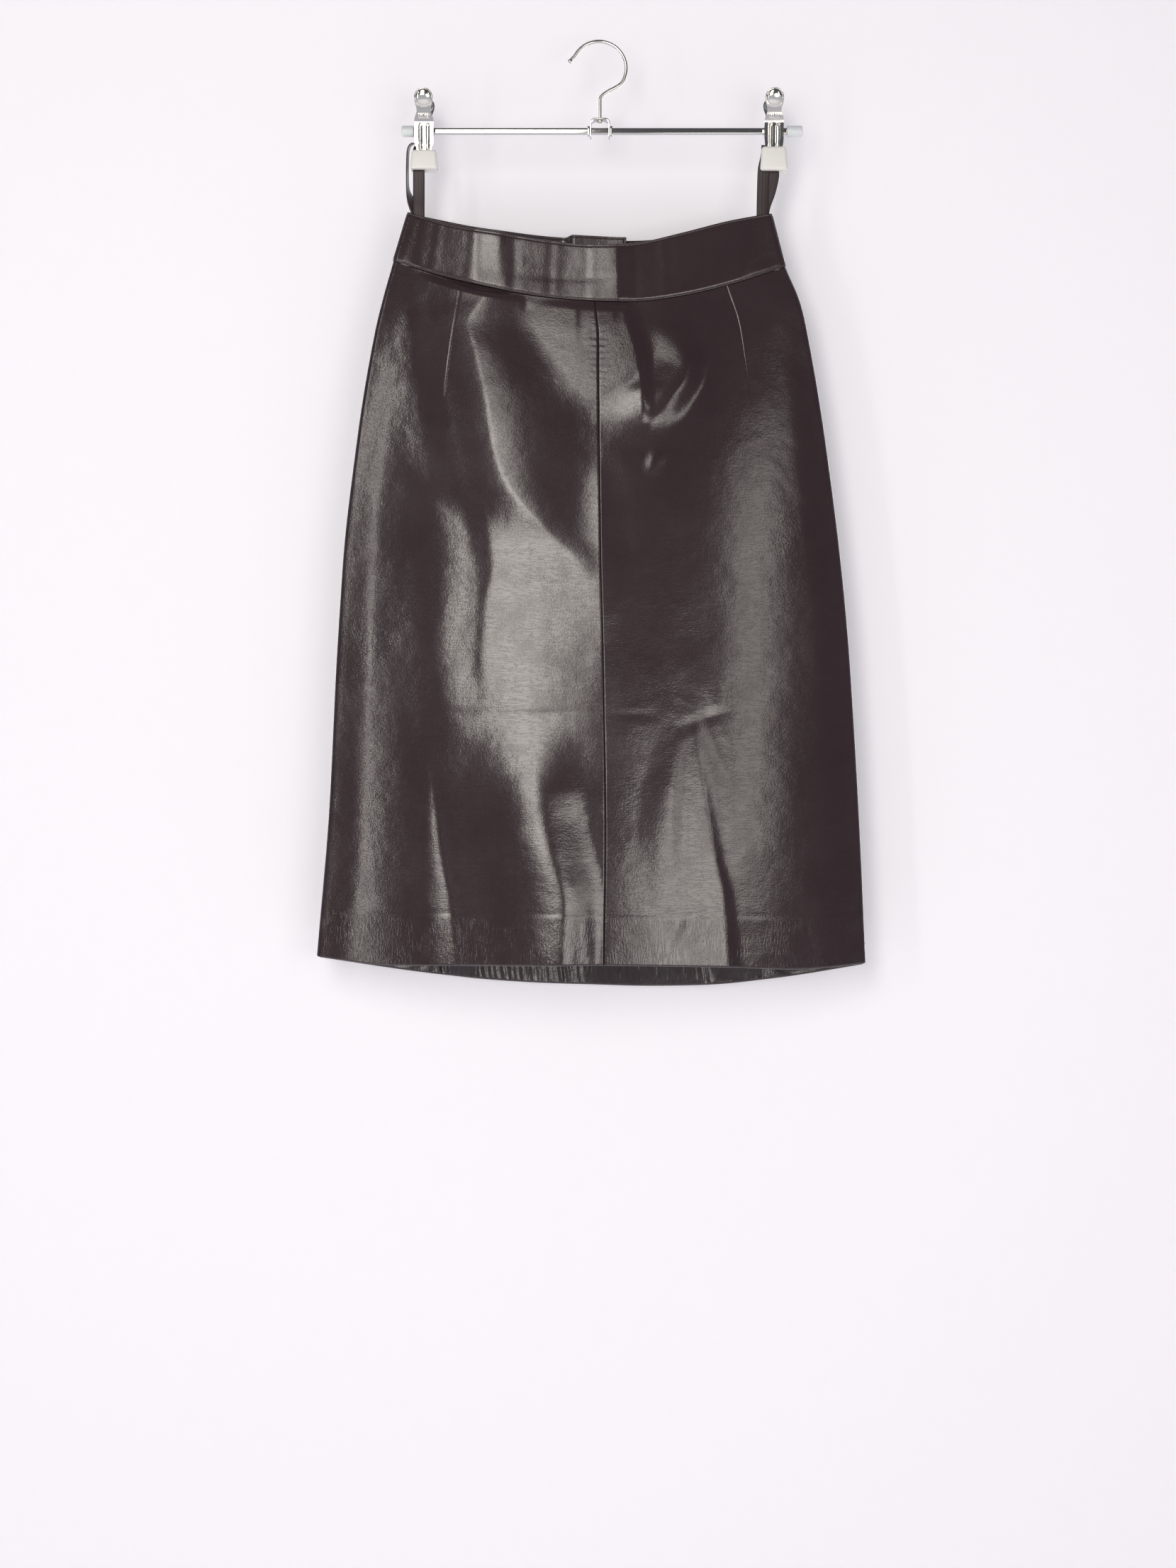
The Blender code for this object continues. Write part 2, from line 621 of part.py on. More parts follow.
def hook(finish):
    """The wire from its ball tip over the top, back in to the stem and through the saddle."""
    centre = (0.0, WIRE_RADIUS - HOOK_RADIUS)
    main = arc(centre, HOOK_RADIUS, *HOOK_ARC, 20)
    leaving = math.radians(HOOK_ARC[1])
    turn = Vector((math.cos(leaving), 0.0, math.sin(leaving))) * HOOK_RETURN + main[-1]
    back = arc((turn.x, turn.z), HOOK_RETURN, HOOK_ARC[1] + 180.0, 180.0, 4)[1:]
    shift = STEM_X - back[-1].x
    tip = Vector((HOOK_TIP[0], 0.0, HOOK_TIP[1]))
    wire = [tip, tip.lerp(main[0], 0.25), tip.lerp(main[0], 0.6)] + main + back[:-1]
    slid = [
        point + Vector((shift * max(0.0, -point.z - STEM_SLIDE) / STEM_SLIDE, 0.0, 0.0)) for point in wire
    ]
    under = SADDLE["top"] - SADDLE["sheet"] - GAP
    head_end = under - RIVET["head"]
    stations = [(slid[0], BALL[0]), (slid[0].lerp(slid[1], 0.5), BALL[1])]
    stations += [(point, WIRE_RADIUS) for point in slid[1:]]
    stations += [(Vector((STEM_X, 0.0, z)), WIRE_RADIUS) for z in (back[-1].z, under)]
    stations += [(Vector((STEM_X, 0.0, z)), RIVET["radius"]) for z in (under - 0.05, head_end)]
    stations += [(Vector((STEM_X, 0.0, head_end - RIVET["crown"])), RIVET["radius"] * 0.6)]
    sweep("hook", stations, 8, finish)


def saddle(finish):
    """A strap bent over the bar: a crown that the hook turns in, and two legs that the bar goes through."""
    half, depth, sheet = SADDLE["half_width"], SADDLE["depth"], SADDLE["sheet"]
    top, bottom, corner = SADDLE["top"], SADDLE["bottom"], SADDLE["corner"]
    leg_middle = (bottom + top - corner) / 2
    outline = [Vector((-half, 0, bottom)), Vector((-half, 0, leg_middle))]
    outline += arc((-half + corner, top - corner), corner, 180.0, 90.0, 4)
    outline += arc((half - corner, top - corner), corner, 90.0, 0.0, 4)
    outline += [Vector((half, 0, leg_middle)), Vector((half, 0, bottom))]
    outline = [point + Vector((STEM_X, 0, 0)) for point in outline]
    strap = bent_sheet("saddle", outline, Vector((0, 1, 0)), depth, sheet, finish)
    hole = BAR_SIZE / 2 + GAP
    slot = (-half - 3, -hole, BAR_Z - hole), (half + 5, hole, BAR_Z + hole)
    boolean(strap, "DIFFERENCE", box_object("saddle_slot", *slot, finish))
    hole_ends = [(Vector((STEM_X, 0, z)), WIRE_RADIUS + GAP) for z in (top + 2, top - 4)]
    boolean(strap, "DIFFERENCE", sweep("saddle_stem_hole", hole_ends, 8, finish))


def bar_and_stops(finish):
    """The square bar, and the collar on each side of the saddle that keeps it in the middle."""
    half = BAR_SIZE / 2
    box_object("bar", (BAR_ENDS[0], -half, BAR_Z - half), (BAR_ENDS[1], half, BAR_Z + half), finish)
    inner, outer = half + GAP, half + GAP + STOP_WALL
    for hand, sign in (("left", -1), ("right", 1)):
        near = STEM_X + sign * (SADDLE["half_width"] + GAP)
        low, high = sorted((near, near + sign * STOP_LENGTH))
        collar = box_object(
            f"bar_stop_{hand}", (low, -outer, BAR_Z - outer), (high, outer, BAR_Z + outer), finish
        )
        hole = (low - 1, -inner, BAR_Z - inner), (high + 1, inner, BAR_Z + inner)
        boolean(collar, "DIFFERENCE", box_object(f"bar_stop_{hand}_hole", *hole, finish))


def end_cap(hand, finish):
    """A round cap with a chamfered end and a square pocket for the bar."""
    low, high = CAPS[hand]
    along, outer_end, inner_end = (1, low, high) if hand == "left" else (-1, high, low)
    bar_end = BAR_ENDS[0] if hand == "left" else BAR_ENDS[1]
    places = (outer_end, CAP_RADIUS - CAP_CHAMFER), (outer_end + along * CAP_CHAMFER, CAP_RADIUS)
    stations = [(Vector((x, 0, BAR_Z)), radius) for x, radius in (*places, (inner_end, CAP_RADIUS))]
    cap = sweep(f"end_cap_{hand}", stations, 16, finish)
    inner = BAR_SIZE / 2 + GAP
    pocket_low, pocket_high = sorted((bar_end - along * GAP, inner_end + along * 2))
    corners = (pocket_low, -inner, BAR_Z - inner), (pocket_high, inner, BAR_Z + inner)
    boolean(cap, "DIFFERENCE", box_object(f"end_cap_{hand}_pocket", *corners, finish))


# ---------------------------------------------------------------- clips


def clip_plate(hand, face, finish):
    """A stamped plate: a round thumb pad, a neck, a body with ears round the bar, and a tongue."""
    sign = -1 if face == "front" else 1
    rows = [dict(zip(PLATE_COLUMNS, row)) for row in PLATE_ROWS]
    for row in rows:
        if face == "back" and row["z"] < EARS_FROM:
            row["half_width"] -= BACK_PLATE_NEST
    tongue = {"half_width": TONGUE["half_width"], "stand_off": TONGUE["stand_off"], "flange": 0.0}
    rows += [{"z": TONGUE[end], **tongue} for end in ("top", "bottom")]

    def place(column_at, row_at, inner):
        kind, share = column_at
        row = rows[row_at]
        sheet = PLATE if inner else 0.0
        half, out = row["half_width"], row["stand_off"] - sheet
        if kind != "flat":
            half -= sheet
        if kind == "ear":
            out = row["stand_off"] - max(row["flange"], PLATE + 0.1)
        return Vector((CLIP_X[hand] + half * share, sign * out, row["z"]))

    columns = [("ear", -1), ("edge", -1), ("flat", -0.5), ("flat", 0.5), ("edge", 1), ("ear", 1)]
    plate = wall(f"clip_{hand}_{face}_plate", columns, list(range(len(rows))), place, finish)
    hole, reach = BAR_SIZE / 2 + GAP, 12.0
    low = (CLIP_X[hand] - reach, -hole, BAR_Z - hole)
    high = (CLIP_X[hand] + reach, hole, BAR_Z + hole)
    boolean(plate, "DIFFERENCE", box_object(f"clip_{hand}_{face}_bar_hole", low, high, finish))


def clip_spring(hand, finish):
    """A coil round the bar whose two legs press the thumb pads apart."""
    radius, half = SPRING["radius"], SPRING["half_length"]
    turned = 360.0 * SPRING["turns"] - SPRING["short"]
    steps = SPRING["turns"] * 10
    coil = []
    for i in range(steps + 1):
        share = i / steps
        angle = math.radians(SPRING["start"] + turned * share)
        x = CLIP_X[hand] + half * (2 * share - 1)
        coil.append(Vector((x, radius * math.cos(angle), BAR_Z + radius * math.sin(angle))))
    out, up = SPRING_LEG
    route = [coil[0] + Vector((0, -out, up)), *coil, coil[-1] + Vector((0, out, up))]
    sweep(f"clip_{hand}_spring", [(point, SPRING["wire"]) for point in route], 6, finish)


def clip_tip(hand, face, finish):
    """A rubber shoe pushed over the plate's tongue, wider towards the bottom."""
    sign = -1 if face == "front" else 1
    top, bottom = TIP_HEIGHTS[hand]
    x, half, outer_face = CLIP_X[hand], TIP["half_width"], TIP["outer_face"]
    bm = bmesh.new()
    box(bm, (x - half, JAW_FACE, bottom), (x + half, outer_face, top))
    for vert in bm.verts:
        if vert.co.z < (top + bottom) / 2:
            vert.co.x = x + (vert.co.x - x) * TIP["spread"]
        elif vert.co.y > outer_face / 2:
            vert.co.y -= TIP["slope"]
        vert.co.y *= sign
    bmesh.ops.recalc_face_normals(bm, faces=bm.faces)
    bmesh.ops.bevel(bm, geom=bm.edges[:], offset=TIP["round"], segments=2, profile=0.5, affect="EDGES")
    shoe = finished(f"clip_{hand}_{face}_tip", bm, finish)
    pocket_half = TONGUE["half_width"] + GAP
    near, far = TONGUE["stand_off"] - PLATE - 2 * GAP, TONGUE["stand_off"] + GAP
    low_y, high_y = sorted((sign * near, sign * far))
    low, high = (x - pocket_half, low_y, TONGUE["bottom"] - GAP), (x + pocket_half, high_y, top + 3)
    boolean(shoe, "DIFFERENCE", box_object(f"clip_{hand}_{face}_pocket", low, high, finish))


def main():
    clear_scene()
    leather = material("dark_brown_leather", (0.032, 0.024, 0.025), 0.35)
    satin = material("brown_satin_ribbon", (0.028, 0.018, 0.018), 0.5)
    zip_cloth = material("brown_zip_tape", (0.022, 0.016, 0.016), 0.7)
    dark_metal = material("dark_nickel", (0.12, 0.11, 0.11), 0.3, 1.0)
    chrome = material("chrome", (0.75, 0.74, 0.72), 0.15, 1.0)
    steel = material("spring_steel", (0.55, 0.54, 0.52), 0.25, 1.0)
    rubber = material("white_rubber", (0.78, 0.77, 0.74), 0.5)
    plastic = material("clear_white_plastic", (0.85, 0.85, 0.87), 0.3)

    for side in ("front", "back"):
        for hand in ("left", "right"):
            panel(side, hand, leather)
    band_front(leather)
    for hand in ("left", "right"):
        band_back(hand, leather)

    zip_tape(zip_cloth)
    slider_frame = surface_frame("back", CENTRE_BACK, SLIDER_DOWN)
    hinge_out = zip_slider(slider_frame, dark_metal)
    zip_pull(slider_frame, hinge_out, dark_metal)
    waist_closure(dark_metal)

    for hand, rows in (("left", RIBBON_LEFT), ("right", RIBBON_RIGHT)):
        strip(f"ribbon_{hand}", smooth_route(rows, RIBBON_STEPS), RIBBON_WIDTH, RIBBON_THICK, satin)

    hook(chrome)
    saddle(chrome)
    bar_and_stops(chrome)
    for hand in ("left", "right"):
        end_cap(hand, plastic)
        for face in ("front", "back"):
            clip_plate(hand, face, chrome)
            clip_tip(hand, face, rubber)
        clip_spring(hand, steel)


main()
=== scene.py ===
# Leather skirt hanging by its waist ribbons from a metal clip hanger.
# Sizes are in millimetres unless a note says otherwise; the front faces -Y and +Z is up.

import math
import random

import bmesh
import bpy
import numpy as np
from mathutils import Matrix, Vector


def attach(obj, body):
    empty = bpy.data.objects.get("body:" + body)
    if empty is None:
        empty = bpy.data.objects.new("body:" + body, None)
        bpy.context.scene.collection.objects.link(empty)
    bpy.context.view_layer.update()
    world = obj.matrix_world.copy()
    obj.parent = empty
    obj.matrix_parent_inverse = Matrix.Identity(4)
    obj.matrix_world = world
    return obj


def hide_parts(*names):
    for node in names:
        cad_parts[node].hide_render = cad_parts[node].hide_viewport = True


mm = 0.001
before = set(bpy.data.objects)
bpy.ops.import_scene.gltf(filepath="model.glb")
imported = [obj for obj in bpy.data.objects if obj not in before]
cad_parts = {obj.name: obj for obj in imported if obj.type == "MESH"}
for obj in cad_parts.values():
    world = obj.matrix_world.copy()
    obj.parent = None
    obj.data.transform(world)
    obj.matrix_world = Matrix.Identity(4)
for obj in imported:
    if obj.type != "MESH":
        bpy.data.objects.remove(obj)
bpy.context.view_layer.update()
scene = bpy.context.scene
print("frame loaded:", len(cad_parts), "nodes")


# nodes and objects

softRange = {"interpolation_type": "SMOOTHSTEP"}
colourMix = {"data_type": "RGBA"}


def hexColour(code):  # sRGB hex to the linear values that shaders take
    channels = [int(code[i : i + 2], 16) / 255 for i in (1, 3, 5)]
    return (*[c / 12.92 if c <= 0.04045 else ((c + 0.055) / 1.055) ** 2.4 for c in channels], 1.0)


def addNode(tree, kind, settings=None, inputs=None):  # links a socket or a node's first one, and sets a value
    node = tree.nodes.new("ShaderNode" + kind)
    for name, value in (settings or {}).items():
        setattr(node, name, value)
    for name, value in (inputs or {}).items():
        if isinstance(value, bpy.types.Node):
            value = value.outputs[0]
        if isinstance(value, bpy.types.NodeSocket):
            tree.links.new(value, node.inputs[name])
        else:
            node.inputs[name].default_value = value
    return node


def newMaterial(name, values):
    made = bpy.data.materials.new(name)
    made.use_nodes = True
    shader = made.node_tree.nodes["Principled BSDF"]
    for socket, value in values.items():
        shader.inputs[socket].default_value = value
    return made, made.node_tree, shader


def addObject(name, data):
    obj = bpy.data.objects.new(name, data)
    scene.collection.objects.link(obj)
    return obj


def inMetres(point):
    return Vector(point) * mm


# camera, lights and stage

viewpoint = {"place": (-9.5, -2200.0, -641.9), "lens": 58.3, "nearest": 20.0}

studio = {  # soft lights: place, width and height, watts, shape
    "mainBox": ((-500, -2300, 20), (840, 1600), 13.0, "RECTANGLE"),
    "mainCore": ((-560, -2280, -60), (560, 1500), 7.5, "ELLIPSE"),
    "leftStrip": ((-1740, -1900, -300), (100, 1900), 5.5, "RECTANGLE"),
    "rightBox": ((1070, -1900, -320), (300, 950), 2.5, "RECTANGLE"),
    "lowRight": ((660, -2300, -770), (820, 620), 5.5, "ELLIPSE"),
    "backLeft": ((-1100, 1900, 0), (600, 1500), 12.0, "RECTANGLE"),
    "backRight": ((900, 2000, -300), (380, 1500), 9.0, "RECTANGLE"),
}

room = {
    "lightsAimedAt": (0, 0, -480),
    "lightColour": "#fffaf2",
    "wallBehind": 52.0,
    "wallColour": "#f6f4f9",
    "floorHeight": -1560.0,
    "floorColour": "#eeedf0",
    "glow": 0.22,  # how much the wall and the floor shine by themselves
    "dimSide": "#55565c",  # what the gloss mirrors in front of the skirt, and behind it
    "paleSide": "#c9ccd6",
    "backdrop": "#f1f0f4",
}


def makeCamera():
    camera = addObject("camera", bpy.data.cameras.new("camera"))
    camera.location = inMetres(viewpoint["place"])
    camera.rotation_euler = (math.radians(90), 0, 0)
    camera.data.lens = viewpoint["lens"]
    camera.data.clip_start = viewpoint["nearest"] * mm
    scene.camera = camera


def makeLights():
    for name, (place, size, watts, shape) in studio.items():
        light = bpy.data.lights.new(name, "AREA")
        light.shape, light.energy = shape, watts
        light.size, light.size_y = size[0] * mm, size[1] * mm
        light.color = hexColour(room["lightColour"])[:3]
        holder = addObject(name, light)
        holder.location = inMetres(place)
        heading = inMetres(room["lightsAimedAt"]) - holder.location
        holder.rotation_euler = heading.to_track_quat("-Z", "Y").to_euler()


def makeWorld():
    world = bpy.data.worlds.new("studio")
    scene.world = world
    world.use_nodes = True
    tree = world.node_tree
    tree.nodes.clear()
    front, behind, backdrop = (hexColour(room[name]) for name in ("dimSide", "paleSide", "backdrop"))
    axes = addNode(tree, "SeparateXYZ", {}, {0: addNode(tree, "TexCoord").outputs["Generated"]})
    turned = {"Value": axes.outputs["Y"], "From Min": -0.55, "From Max": 0.45}
    share = addNode(tree, "MapRange", softRange, turned)
    tone = addNode(tree, "Mix", colourMix, {0: share, 6: front, 7: behind}).outputs[2]
    straight = addNode(tree, "LightPath").outputs["Is Camera Ray"]
    seen = addNode(tree, "Mix", colourMix, {0: straight, 6: tone, 7: backdrop}).outputs[2]
    shine = addNode(tree, "Background", {}, {"Color": seen, "Strength": 1.0})
    addNode(tree, "OutputWorld", {}, {"Surface": shine})


def plainPlane(name, across, up, centre, colour):
    across, up = Vector(across), Vector(up)
    turned = Matrix((across, up, across.cross(up).normalized())).transposed().to_4x4()
    bm = bmesh.new()
    bmesh.ops.create_grid(bm, x_segments=1, y_segments=1, size=0.5)
    bmesh.ops.transform(bm, matrix=Matrix.Translation(inMetres(centre)) @ turned, verts=bm.verts)
    mesh = bpy.data.meshes.new(name)
    bm.to_mesh(mesh)
    bm.free()
    shade = {"Base Color": hexColour(colour), "Roughness": 0.9, "Specular IOR Level": 0.1}
    shade |= {"Emission Color": hexColour(colour), "Emission Strength": room["glow"]}
    paint, tree, shader = newMaterial(name + "Paint", shade)
    mesh.materials.append(paint)
    obj = addObject(name, mesh)
    return obj, tree, shader


def makeStage():  # the wall shows from its front only and leaves the light alone
    place = (0, room["wallBehind"], -700)
    wall, tree, shader = plainPlane("wall", (9, 0, 0), (0, 0, 7), place, room["wallColour"])
    side = addNode(tree, "NewGeometry").outputs["Backfacing"]
    shown = addNode(tree, "MixShader", {}, {0: side, 1: shader, 2: addNode(tree, "BsdfTransparent")})
    tree.links.new(shown.outputs[0], tree.nodes["Material Output"].inputs["Surface"])
    wall.visible_shadow = wall.visible_glossy = wall.visible_diffuse = wall.visible_transmission = False
    plainPlane("floor", (12, 0, 0), (0, 12, 0), (0, 0, room["floorHeight"]), room["floorColour"])


scene.view_settings.view_transform = "Standard"
makeCamera()
makeLights()
makeWorld()
makeStage()
print("camera, lights and stage ready")


# materials

leatherLook = {
    "colour": "#33272a",
    "worn": "#3d3033",
    "roughness": (0.15, 0.19),
    "pebble": (1.5, 0.05),  # size and depth of the grain, here a little coarse so that it shows
    "furrows": (0.4, 0.42),  # reach and dullness of the lines between pebbles, less polished than their tops
    "polish": (0.5, 0.05),  # specular level of the tops and of the dullest lines
    "swell": ((4.0, 0.03), (12.0, 0.09), (34.0, 0.4)),  # size and height of soft unevenness
    "drawn": {  # turn, length, spacing, depth and dullness of lines that hanging and wear have drawn
        "ribs": (0, 13.0, 2.3, 0.012, 0.5),
        "slants": (58, 9.0, 2.2, 0.012, 0.5),
        "hemLines": (6, 2.4, 15.0, 0.03, 0.45),
    },
    "lineWidth": 0.14,  # as a share of the noise's range
    "patch": 24.0,
    "cloud": 70.0,
}


def tintAndBump(tree, shader, share, colours, height, depth):  # what every surface ends with
    first, second = (hexColour(colour) for colour in colours)
    tint = addNode(tree, "Mix", colourMix, {0: share, 6: first, 7: second})
    bump = addNode(tree, "Bump", {}, {"Height": height, "Distance": depth * mm, "Strength": 1.0})
    tree.links.new(tint.outputs[2], shader.inputs["Base Color"])
    tree.links.new(bump.outputs[0], shader.inputs["Normal"])


def leatherMaterial(look):  # glazed lambskin: a pebbled grain under a thin hard gloss, drawn into fine lines
    made, tree, shader = newMaterial("glazedLambskin", {"IOR": 1.7})
    place = addNode(tree, "TexCoord")
    pebble, depth = look["pebble"]

    def noise(size, detail):
        inputs = {"Vector": place.outputs["Object"], "Scale": 1000 / size, "Detail": detail}
        return addNode(tree, "TexNoise", {}, inputs).outputs[0]

    def total(one, two, share):  # two plus a share of one
        return addNode(tree, "Math", {"operation": "MULTIPLY_ADD"}, {0: one, 1: share, 2: two}).outputs[0]

    def grooves(zone, turn, length, spacing):  # fine valleys where a stretched noise passes its middle
        lie = {"Rotation": (0, 0, math.radians(turn)), "Scale": (1000 / length, 1000 / spacing, 1)}
        laid = addNode(tree, "Mapping", {}, {"Vector": place.outputs["UV"], **lie})
        streaks = {"Vector": laid, "Scale": 1.0, "Detail": 1.5}
        cloud = addNode(tree, "TexNoise", {"noise_dimensions": "2D"}, streaks)
        away = addNode(tree, "Math", {"operation": "SUBTRACT"}, {0: cloud, 1: 0.5})
        away = addNode(tree, "Math", {"operation": "ABSOLUTE"}, {0: away})
        line = addNode(tree, "MapRange", softRange, {"Value": away, "From Max": look["lineWidth"]})
        zoned = addNode(tree, "Attribute", {"attribute_name": zone}).outputs["Fac"]
        shown = addNode(tree, "Math", {"operation": "MULTIPLY"}, {0: line, 1: zoned})
        return addNode(tree, "Math", {"operation": "MULTIPLY"}, {0: shown, 1: patches})

    scattered = {"Vector": place.outputs["Object"], "Scale": 1000 / pebble}
    cells = addNode(tree, "TexVoronoi", {"feature": "DISTANCE_TO_EDGE"}, scattered).outputs["Distance"]
    reach, dullness = look["furrows"]
    furrowRange = {"Value": cells, "From Max": reach, "To Min": dullness, "To Max": 0}
    furrow = addNode(tree, "MapRange", softRange, furrowRange).outputs[0]
    height = total(noise(pebble, 1.0), 0.0, depth)
    for size, high in look["swell"]:
        height = total(noise(size, 2.0), height, high)
    patchRange = {"Value": noise(look["patch"], 1.0), "From Min": 0.3, "From Max": 0.6}
    patches = addNode(tree, "MapRange", {}, patchRange)
    for zone, (turn, length, spacing, deep, dull) in look["drawn"].items():
        drawn = grooves(zone, turn, length, spacing)
        height = total(drawn, height, deep)
        furrow = total(drawn, furrow, -dull)
    cloudy = noise(look["cloud"], 3.0)
    tintAndBump(tree, shader, cloudy, (look["colour"], look["worn"]), height, 1.0)
    low, high = look["roughness"]
    roughRange = {"Value": cloudy, "From Min": 0.3, "From Max": 0.7, "To Min": low, "To Max": high}
    rough = addNode(tree, "MapRange", {}, roughRange)
    high, low = look["polish"]
    polish = addNode(tree, "MapRange", {}, {"Value": furrow, "To Min": high, "To Max": low})
    tree.links.new(rough.outputs[0], shader.inputs["Roughness"])
    tree.links.new(polish.outputs[0], shader.inputs["Specular IOR Level"])
    return made


def noiseMaterial(name, values, colours, spot, depth, stretch=(1, 1, 1)):
    # a plain finish with a slight cloudiness and a bump of the given spot size and depth
    made, tree, shader = newMaterial(name, values)
    place = addNode(tree, "TexCoord").outputs["Object"]
    laid = addNode(tree, "Mapping", {}, {"Vector": place, "Scale": stretch})
    spots = {"Vector": laid, "Scale": 1000 / spot, "Detail": 3.0, "Roughness": 0.6}
    cloud = addNode(tree, "TexNoise", {}, spots)
    tintAndBump(tree, shader, cloud, colours, cloud, depth)
    return made


def wovenMaterial(name, values, colours, threads, depth):
    # threads: sizes of warp and weft along the cut, drawn six times as coarse so that they show
    made, tree, shader = newMaterial(name, values)
    place, heights = addNode(tree, "TexCoord").outputs["UV"], []
    for way, spacing in zip("XY", threads):
        scale = 1000 / spacing / (2 * math.pi) * 0.314
        bands = {"Vector": place, "Scale": scale, "Distortion": 0.6, "Detail": 1.0}
        wave = addNode(tree, "TexWave", {"wave_type": "BANDS", "bands_direction": way}, bands)
        heights.append(wave.outputs[1])
    both = addNode(tree, "Math", {"operation": "MULTIPLY_ADD"}, {0: heights[1], 1: 0.6, 2: heights[0]})
    tintAndBump(tree, shader, heights[0], colours, both, depth)
    return made


leather = leatherMaterial(leatherLook)
flesh = noiseMaterial(  # the napped inner side of the hide: matte, a little paler
    "suedeFleshSide", {"Roughness": 0.9, "Sheen Weight": 0.3}, ("#3a2c2c", "#4a3938"), 2.5, 0.25
)
satin = wovenMaterial(  # double-faced polyester satin: long floats that shine along the ribbon
    "satinRibbon", {"Roughness": 0.42, "Sheen Weight": 0.25, "Anisotropic": 0.5}, ("#2b1e20", "#392a2c"),
    (0.45, 3.0), 0.05,
)
zipTapeCloth = wovenMaterial(  # plain woven polyester tape
    "wovenZipTape", {"Roughness": 0.8, "Sheen Weight": 0.2}, ("#231819", "#302324"), (0.5, 0.6), 0.1
)
thread = noiseMaterial(  # waxed polyester thread, a shade lighter than the leather: its own tone plus a painted highlight
    "sewingThread", {"Roughness": 0.42}, ("#5a4c4b", "#75655f"), 0.4, 0.05
)
chrome = noiseMaterial(  # bright chrome plate on pressed steel, with faint polishing marks
    "chromePlatedSteel", {"Metallic": 1.0, "Roughness": 0.09}, ("#d8d5cf", "#e6e3de"), 6.0, 0.01, (1, 1, 3)
)
springSteel = noiseMaterial(  # drawn wire, nickel plated
    "nickelPlatedSpringWire", {"Metallic": 1.0, "Roughness": 0.22}, ("#a9a59d", "#c4c0b8"), 1.0, 0.02
)
darkNickel = noiseMaterial(  # black nickel plate on die-cast zinc
    "blackNickelPlate", {"Metallic": 1.0, "Roughness": 0.28}, ("#4a4648", "#615c5d"), 1.2, 0.02
)
rubber = noiseMaterial(  # dip-moulded soft vinyl, faintly translucent
    "creamVinylRubber", {"Roughness": 0.48, "Subsurface Weight": 0.15, "Subsurface Scale": 0.002},
    ("#f4f2ec", "#faf8f3"), 3.0, 0.03,
)
capPlastic = noiseMaterial(  # natural polyethylene: milky, lets some light through
    "naturalPolyethylene",
    {"Roughness": 0.3, "Subsurface Weight": 0.4, "Subsurface Scale": 0.004, "Alpha": 0.9},
    ("#f0f0f3", "#fafafc"), 4.0, 0.02,
)
print("materials ready")


# making pieces


def toMesh(name, bm):
    bmesh.ops.recalc_face_normals(bm, faces=bm.faces)
    mesh = bpy.data.meshes.new(name)
    bm.to_mesh(mesh)
    bm.free()
    return mesh


def inMillimetres(name, bm):  # a mesh in metres from a bmesh in millimetres
    bmesh.ops.scale(bm, vec=(mm, mm, mm), verts=bm.verts)
    return toMesh(name, bm)


def addPiece(name, mesh, materials, stands=(), sharp=None, body="skirt"):
    for material in materials:
        mesh.materials.append(material)
    mesh.shade_smooth()
    if sharp is not None:
        mesh.set_sharp_from_angle(angle=math.radians(sharp))
    obj = addObject(name, mesh)
    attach(obj, body)
    if stands:
        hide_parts(*stands)
    return obj


def spread(low, high, steps):
    return [low + (high - low) * i / steps for i in range(steps + 1)]


def edgeRoll(distance, radius):  # how far a rounded edge falls back, at a distance from it
    d = np.clip(distance, 0, radius)
    return radius - np.sqrt(np.maximum(0.0, radius**2 - (radius - d) ** 2))


def smoothStep(value):
    t = np.clip(value, 0, 1)
    return t * t * (3 - 2 * t)


def dip(distance, width):  # 1 at 0, falling softly to almost nothing one and a half widths away
    return np.exp(-((distance / width) ** 2))


def placed(here, *axes):  # the matrix that sets a unit piece down on three directions
    return Matrix.Translation(here) @ Matrix(axes).transposed().to_4x4()


def clothWall(name, wide, tall, place, insideFrom=None):
    # A thin closed wall over a grid. For arrays of columns and rows, place gives points, the lie of the cut
    # and the grain zones. insideFrom tells where the inner face shows the flesh side.
    bm = bmesh.new()
    bmesh.ops.create_grid(bm, x_segments=wide, y_segments=tall, size=0.5)
    outerCount = len(bm.verts)
    bmesh.ops.extrude_face_region(bm, geom=bm.faces[:], use_keep_orig=True)
    grid = np.array([vert.co for vert in bm.verts])
    column, row = (np.rint((grid[:, i] + 0.5) * count).astype(int) for i, count in enumerate((wide, tall)))
    inner = np.arange(len(grid)) >= outerCount
    points, cut, zones = place(column, row, inner)
    for vert, point in zip(bm.verts, points * mm):
        vert.co = point
    if insideFrom is not None:
        bm.verts.index_update()
        plain = inner & insideFrom(column, row)
        for face in bm.faces:
            face.material_index = int(all(plain[vert.index] for vert in face.verts))
    mesh = toMesh(name, bm)
    corner = np.empty(len(mesh.loops), np.int32)
    mesh.loops.foreach_get("vertex_index", corner)
    uv = mesh.uv_layers.new(name="cut")
    uv.data.foreach_set("uv", (cut[corner] * mm).astype(np.float32).ravel())
    for zone, values in zones.items():
        layer = mesh.attributes.new(zone, "FLOAT", "POINT")
        layer.data.foreach_set("value", values.astype(np.float32))
    outer = np.zeros((wide + 1, tall + 1, 3))
    outer[column[~inner], row[~inner]] = points[~inner]
    return mesh


def addCloth(mesh, materials, stands):
    piece = addPiece(mesh.name, mesh, materials, stands)


